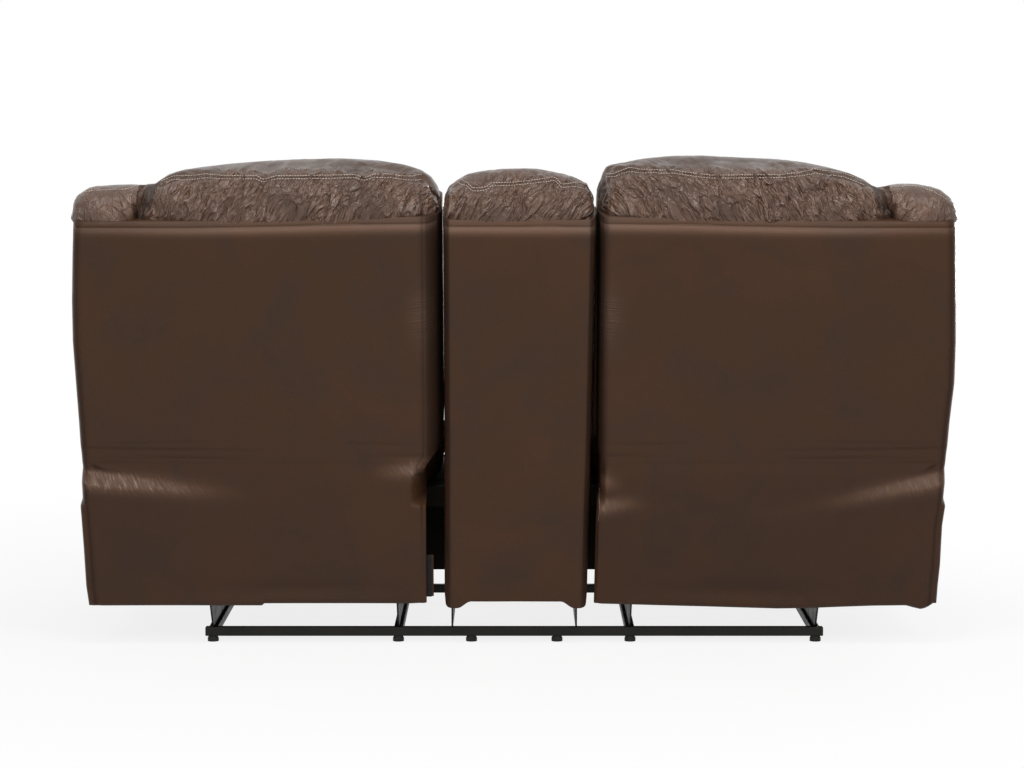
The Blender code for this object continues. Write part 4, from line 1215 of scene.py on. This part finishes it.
def console_pillow():
    """Small pillow on top of the console's back."""
    points, faces = lofted(*CONSOLE_PILLOW_ENDS, CONSOLE_PILLOW, 0.0070, power=5)
    mesh = mesh_from(raised(points, CONSOLE_CREST, CONSOLE_PILLOW_TOP), faces)

    def held(spots):
        across, depth, height = spots.T
        sewn_line = (np.abs(height - along(CONSOLE_SEAM, across)) < 0.006) & (depth > 0.0)
        return np.where(height < BACK_TOP + 0.008, 1.0, 0.9 * sewn_line)

    mesh = smoother(swollen(mesh, PILLOW_CELL, held, slack=0.06, cap=0.012))
    kept(mesh, 2, low=PILLOW_TUCK)
    fitted(mesh, CONSOLE_CREST)
    kept(mesh, 0, -CONSOLE_EDGES["right"][-1][1], CONSOLE_EDGES["left"][-1][1])
    across, depth, height = places(mesh).T
    away = height - along(CONSOLE_SEAM, across)
    rear = ease((depth + 0.01) / 0.04)
    near = hump(away, 0.025) + hump(height - BACK_TOP, 0.040)
    crush(mesh, np.clip(0.3 + 0.7 * rear * (0.6 + near), 0.0, 1.0), 130)
    seam(mesh, np.where(depth > 0.0, away, 1.0))
    put(mesh, lean(places(mesh)))
    return mesh


def console_back_cover():
    """Leather over the console's leaning back, with a ledge and drooping lower corners."""
    heights = np.concatenate((
        np.linspace(-0.291, -0.25, 12), np.linspace(-0.24, LEDGE_FOOT - 0.020, 70),
        np.linspace(LEDGE_FOOT - 0.017, BACK_TOP, 24),
    ))
    edge = CONSOLE_EDGES["left"]
    inside = [(place, -value) for place, value in CONSOLE_EDGES["right"]]
    points, faces, rear = slab(
        inside, edge, lambda height: along(CONSOLE_FRONT_LINE, height), heights,
        (OUTER_ROUND, OUTER_ROUND), cells=48, powers=(2.6, 2.6),
    )
    across, depth, height = points.T.copy()
    rim = np.minimum(along(edge, height) - across, across - along(inside, height))
    groove = hump(rim - OUTER_ROUND + 0.006, 0.004)
    uneven = flat_ripple(140, across * 9, height * 5)
    corner = ease((0.060 - rim) / 0.030) * ease((-0.20 - height) / 0.09)
    depth = depth + (0.0015 * uneven - 0.0020 * groove - ledge(across, height)) * rear
    height = height - 0.016 * corner * rear
    mesh = mesh_from(lean(np.column_stack((across, depth, height))), faces)
    # Painted highlight along the ledge, and painted shade in the grooves.
    mark(mesh, "rubbed", ledge_painted_highlight(across, height) * rear)
    mark(mesh, "creased", groove * 0.7 * rear)
    return mesh


def console_box_cover():
    """Leather round the console's box, open at the top and underneath."""
    low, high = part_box("console_box")
    turn = np.linspace(0, 2 * np.pi, 96, endpoint=False)
    wave = np.column_stack((np.cos(turn), np.sin(turn)))
    middle = np.array([(low.x + high.x) / 2, (low.y + high.y) / 2])
    half = np.array([(high.x - low.x) / 2, (high.y - low.y) / 2])
    levels = np.linspace(low.z, high.z, 40)
    rings = []
    for gap, corner, order in ((0.0030, 0.0090, levels), (0.0004, 0.0010, levels[::-1])):
        plan = middle + np.sign(wave) * (half + gap - corner) + wave * corner
        for level in order:
            rings.append(np.column_stack((plan, np.full(len(plan), level))))
    count = len(turn)
    faces = []
    for row in range(len(rings)):
        under, over = row * count, (row + 1) % len(rings) * count
        for k in range(count):
            after = (k + 1) % count
            faces.append((under + k, under + after, over + after, over + k))
    mesh = mesh_from(np.vstack(rings), faces)
    # A lighter band is painted along the top edge.
    mark(mesh, "rubbed", 0.4 * hump(places(mesh)[:, 2] - high.z, 0.010))
    return mesh


def dress(name, mesh, sign, body, leather, fill, *nodes):
    """Padded leather piece that rides on a body and stands for its nodes."""
    piece = piece_from(mesh, name, sign, finish(leather))
    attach(piece, body)
    if nodes:
        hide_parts(*nodes)


def dress_seats(name, mesh_for, body, leather, fill, *nodes):
    """Padded piece for each seat, riding on that side's body and standing for its nodes."""
    for side, sign in SIDES.items():
        own = [f"{side}_{node}" for node in nodes]
        dress(f"{side}_{name}", mesh_for(side), sign, body.format(side=side), leather, fill, *own)


class LOVESEAT_OT_back_covers(bpy.types.Operator):
    """Cover both backs and hang their skirts"""

    bl_idname = "loveseat.back_covers"
    bl_label = "Back covers"

    def execute(self, context):
        for side, sign in SIDES.items():
            piece = piece_from(back_cover(side), f"{side}_back_cover", sign, finish("Smooth leather"))
            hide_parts(f"{side}_back_frame", f"{side}_outside_back_panel", f"{side}_back_skirt")
            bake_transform(piece)
        tape = ((0.1835, 0.0500, -0.286), (0.1990, 0.0530, -0.190))
        flap = ((0.1790, 0.0460, -0.286), (0.1990, 0.0495, -0.190))
        strip("left_hook_tape", *tape, "Dust cloth", "black_plastic")
        strip("left_tape_flap", *flap, "Smooth leather", "brown_leather")
        return {"FINISHED"}


def strip(name, low, high, material, slot):
    """Narrow strip on the leaning back, between two corners given as across, depth and height."""
    points, faces = hull(np.linspace(0, 1, 4), np.linspace(0, 1, 3), np.linspace(0, 1, 24))
    low, high = np.array(low), np.array(high)
    mesh = mesh_from(lean(low + points * (high - low)), faces)
    piece = piece_from(mesh, name, 1, finish(material))
    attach(piece, "base")


class LOVESEAT_OT_head_pillows(bpy.types.Operator):
    """Make the head pillows"""

    bl_idname = "loveseat.head_pillows"
    bl_label = "Head pillows"

    def execute(self, context):
        dress_seats("pillow_cover", head_pillow, "{side}_back", "Crushed leather", 0.7, "head_pillow")
        dress_seats("back_gusset", back_gusset, "{side}_back", "Smooth leather", 0.5)
        return {"FINISHED"}


class LOVESEAT_OT_wings(bpy.types.Operator):
    """Make the wing bolsters"""

    bl_idname = "loveseat.wings"
    bl_label = "Wing bolsters"

    def execute(self, context):
        form = wing_form()
        dress_seats(
            "wing_cover", lambda side: wing_bolster(form, side), "{side}_back", "Crushed leather", 0.8,
            "wing_bolster",
        )
        return {"FINISHED"}


class LOVESEAT_OT_seats(bpy.types.Operator):
    """Make the inside backs, seat cushions and footrest pads"""

    bl_idname = "loveseat.seats"
    bl_label = "Seats"

    def execute(self, context):
        for name, make, body, node in (
            ("inside_back", back_cushion, "{side}_back", "back_cushion"),
            ("seat_cover", seat_cushion, "base", "seat_cushion"),
            ("footrest_cover", footrest_pad, "{side}_footrest", "footrest_pad"),
        ):
            mesh = make()
            shaped = narrowed if make is back_cushion else lambda form, side: form
            dress_seats(name, lambda side: shaped(mesh, side), body, "Crushed leather", 0.8, node)
        return {"FINISHED"}


class LOVESEAT_OT_arms(bpy.types.Operator):
    """Cover the arms and make their soft tops"""

    bl_idname = "loveseat.arms"
    bl_label = "Arms"

    def execute(self, context):
        body, top = arm_cover(), arm_pad()
        dress_seats("arm_cover", lambda side: body, "base", "Smooth leather", 0.6, "arm")
        dress_seats("arm_top", lambda side: top, "base", "Crushed leather", 0.8, "arm_pad")
        return {"FINISHED"}


class LOVESEAT_OT_console(bpy.types.Operator):
    """Cover the console, its back, its pillow and its lid"""

    bl_idname = "loveseat.console"
    bl_label = "Console"

    def execute(self, context):
        for name, make, body, leather, fill, node in (
            ("console_back_cover", console_back_cover, "base", "Smooth leather", 0.4, "console_back"),
            ("console_pillow", console_pillow, "base", "Crushed leather", 0.7, "console_head_pillow"),
            ("console_lid_cover", lid_pad, "console_lid", "Crushed leather", 0.8, "console_lid"),
        ):
            dress(name, make(), 1, body, leather, fill, node)
        skin = piece_from(console_box_cover(), "console_skin", 1, finish("Smooth leather"))
        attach(skin, "base")
        return {"FINISHED"}


class LOVESEAT_OT_stitching(bpy.types.Operator):
    """Sew the rows on the pillows, wings, inside backs, seats, arms and right skirt"""

    bl_idname = "loveseat.stitching"
    bl_label = "Stitching"

    def execute(self, context):
        gap = context.scene.loveseat_seams.row_gap / 2
        rearward = lean([(0, 1, 0)])[0] - lean([(0, 0, 0)])[0]
        forward, down = -rearward, np.array((0.0, 0.0, -1.0))

        def row_on(name, sign, starts, direction):
            return landed(bpy.data.objects[name], starts * (sign, 1, 1), direction)

        def level_rows(name, sign, table, ends, shifts, body, depth=0.3, direction=forward):
            across = np.linspace(*ends, ROW_POINTS)
            rows = []
            for shift in shifts:
                starts = lean(spots_at(across, depth, along(table, across) + shift))
                rows.append(row_on(name, sign, starts, direction))
            sewn(f"{name}_stitches", rows, body)

        for side, sign in SIDES.items():
            back = f"{side}_back"
            table = PILLOW_SEAMS[side]
            level_rows(f"{side}_pillow_cover", sign, table, (table[0][0], table[-1][0]), (-gap, gap), back)
            level_rows(f"{side}_wing_cover", sign, WING_CRESTS[side], WING_ROW, (-0.002,), back)
            level_rows(
                f"{side}_inside_back", sign, [(0.0, BACK_PAD_SEAM)], INSIDE_BACK_ROW, (-0.011, 0.011), back,
                -0.4, rearward,
            )
            across = np.linspace(*SEAT_ROW, ROW_POINTS)
            rows = []
            for place in (SEAT_SEAM - 0.010, SEAT_SEAM + 0.010):
                rows.append(row_on(f"{side}_seat_cover", sign, spots_at(across, place, 0.8), down))
            sewn(f"{side}_seat_stitches", rows, "base")
            starts = spots_at(1.2, ARM_SEAM + 0.008, np.linspace(*ARM_ROW, ARM_ROW_POINTS))
            row = row_on(f"{side}_arm_cover", sign, starts, np.array((-sign, 0.0, 0.0)))
            sewn(f"{side}_arm_stitches", [row], "base")
        heights = np.linspace(*SKIRT_ROW, SKIRT_ROW_POINTS)
        edge = along(BACK_INSIDES["right"], heights) + 0.005
        row = row_on("right_back_cover", SIDES["right"], lean(spots_at(edge, 0.3, heights)), forward)
        sewn("right_skirt_stitches", [row], "base", size=0.5)
        ends = (CONSOLE_SEAM[0][0], CONSOLE_SEAM[-1][0])
        level_rows("console_pillow", 1, CONSOLE_SEAM, ends, (-gap, gap), "base")
        return {"FINISHED"}


class LOVESEAT_OT_steelwork(bpy.types.Operator):
    """Finish the rails, links, plates, boards, tray and levers"""

    bl_idname = "loveseat.steelwork"
    bl_label = "Steelwork"

    def execute(self, context):
        finishes = {
            "black_steel": "Black paint", "glide_plastic": "Glide plastic", "frame_wood": "Stained plywood",
            "black_plastic": "Moulded plastic", "brown_leather": "Dust cloth",
        }
        for node in frame["nodes"].values():
            for slot in node.material_slots:
                slot.material = finish(finishes[slot.material.name.split(".")[0]])
        return {"FINISHED"}


def area_lamp(name, place, aim, size, power):
    """Soft lamp at a place, turned to what it lights."""
    data = bpy.data.lights.new(name, "AREA")
    data.shape = "RECTANGLE"
    data.size, data.size_y = size
    data.energy = power
    lamp = bpy.data.objects.new(name, data)
    lamp.location = place
    lamp.rotation_euler = (Vector(aim) - Vector(place)).to_track_quat("-Z", "Y").to_euler()
    bpy.context.scene.collection.objects.link(lamp)


def seen_directly(tree):
    """1 for what the camera sees itself, in a mirror or through glass, and 0 for light on the object."""
    path = add_node(tree, "ShaderNodeLightPath").outputs
    shiny = maths(tree, "MAXIMUM", path["Is Glossy Ray"], path["Is Transmission Ray"])
    return maths(tree, "MAXIMUM", path["Is Camera Ray"], shiny)


def make_floor(colour):
    """Pale floor that keeps a soft shadow near the object and is white further out."""
    material, tree, shader = new_material("Pale floor")
    place = object_place(tree)
    tone = cloudy(tree, place, 3.0)
    lighter = tuple(min(1.0, 1.04 * value) for value in colour[:3]) + (1.0,)
    tree.links.new(mixed(tree, tone, tuple(colour), lighter), shader.inputs["Base Color"])
    shader.inputs["Roughness"].default_value = 0.8
    distance = add_node(tree, "ShaderNodeVectorMath", {0: place}, operation="LENGTH").outputs["Value"]
    glow = {"Color": (1.0, 1.0, 1.0, 1.0), "Strength": 1.0}
    white = add_node(tree, "ShaderNodeEmission", glow).outputs[0]
    fade = ranged(tree, distance, WHITE_FROM, WHITE_TO, FLOOR_WHITE, 1.0)
    share = maths(tree, "MULTIPLY", seen_directly(tree), fade)
    surface = add_node(tree, "ShaderNodeMixShader", {0: share, 1: shader.outputs[0], 2: white}).outputs[0]
    tree.links.new(surface, tree.nodes["Material Output"].inputs["Surface"])
    return material


class LOVESEAT_OT_studio(bpy.types.Operator):
    """Set up the floor, lamps, sky and camera"""

    bl_idname = "loveseat.studio"
    bl_label = "Studio"

    def execute(self, context):
        scene = context.scene
        studio = scene.loveseat_studio
        bpy.ops.mesh.primitive_grid_add(x_subdivisions=4, y_subdivisions=4, size=FLOOR_SIDE)
        floor = context.object
        floor.name = "floor"
        floor.data.materials.append(make_floor(studio.floor))
        for name, (place, aim, size, power) in LAMPS.items():
            area_lamp(name, place, aim, size, getattr(studio, power))
        world = bpy.data.worlds.new("Sky")
        scene.world = world
        world.use_nodes = True
        tree = world.node_tree
        direct = seen_directly(tree)
        strength = maths(tree, "ADD", maths(tree, "MULTIPLY", direct, 1.0 - studio.sky), studio.sky)
        sky = tree.nodes["Background"]
        sky.inputs["Color"].default_value = (1.0, 1.0, 1.0, 1.0)
        tree.links.new(strength, sky.inputs["Strength"])
        camera = bpy.data.cameras.new("camera")
        camera.lens = CAMERA_LENS
        camera.sensor_width = CAMERA_SENSOR
        eye = bpy.data.objects.new("camera", camera)
        eye.location = CAMERA_PLACE
        eye.rotation_euler = (math.radians(90 - CAMERA_DROP), 0.0, math.radians(180))
        scene.collection.objects.link(eye)
        scene.camera = eye
        scene.view_settings.view_transform = "Standard"
        return {"FINISHED"}


STEPS = (
    LOVESEAT_OT_studio, LOVESEAT_OT_back_covers, LOVESEAT_OT_head_pillows, LOVESEAT_OT_wings,
    LOVESEAT_OT_seats, LOVESEAT_OT_arms, LOVESEAT_OT_console, LOVESEAT_OT_stitching, LOVESEAT_OT_steelwork,
)


class LOVESEAT_PT_sidebar(bpy.types.Panel):
    """Lists the steps that dress the loveseat"""

    bl_label = "Loveseat"
    bl_space_type = "VIEW_3D"
    bl_region_type = "UI"
    bl_category = "Loveseat"

    def draw(self, context):
        for name in SETTINGS:
            settings = getattr(context.scene, name)
            for field in settings.bl_rna.properties.keys():
                if field not in ("rna_type", "name"):
                    self.layout.prop(settings, field)
        for step in STEPS:
            self.layout.operator(step.bl_idname)


SETTINGS = {
    "loveseat_leather": LeatherSettings, "loveseat_seams": SeamSettings,
    "loveseat_stuffing": StuffingSettings, "loveseat_studio": StudioSettings,
}
CLASSES = (*SETTINGS.values(), *STEPS, LOVESEAT_PT_sidebar)


def register():
    """Add the settings, steps and panel to Blender."""
    for kind in CLASSES:
        bpy.utils.register_class(kind)
    for name, kind in SETTINGS.items():
        setattr(bpy.types.Scene, name, PointerProperty(type=kind))


def unregister():
    """Take the settings, steps and panel out of Blender."""
    for name in SETTINGS:
        delattr(bpy.types.Scene, name)
    for kind in reversed(CLASSES):
        bpy.utils.unregister_class(kind)


def main():
    """Make the whole object."""
    register()
    for step in STEPS:
        group, action = step.bl_idname.split(".")
        getattr(getattr(bpy.ops, group), action)()


if __name__ == "__main__":
    main()
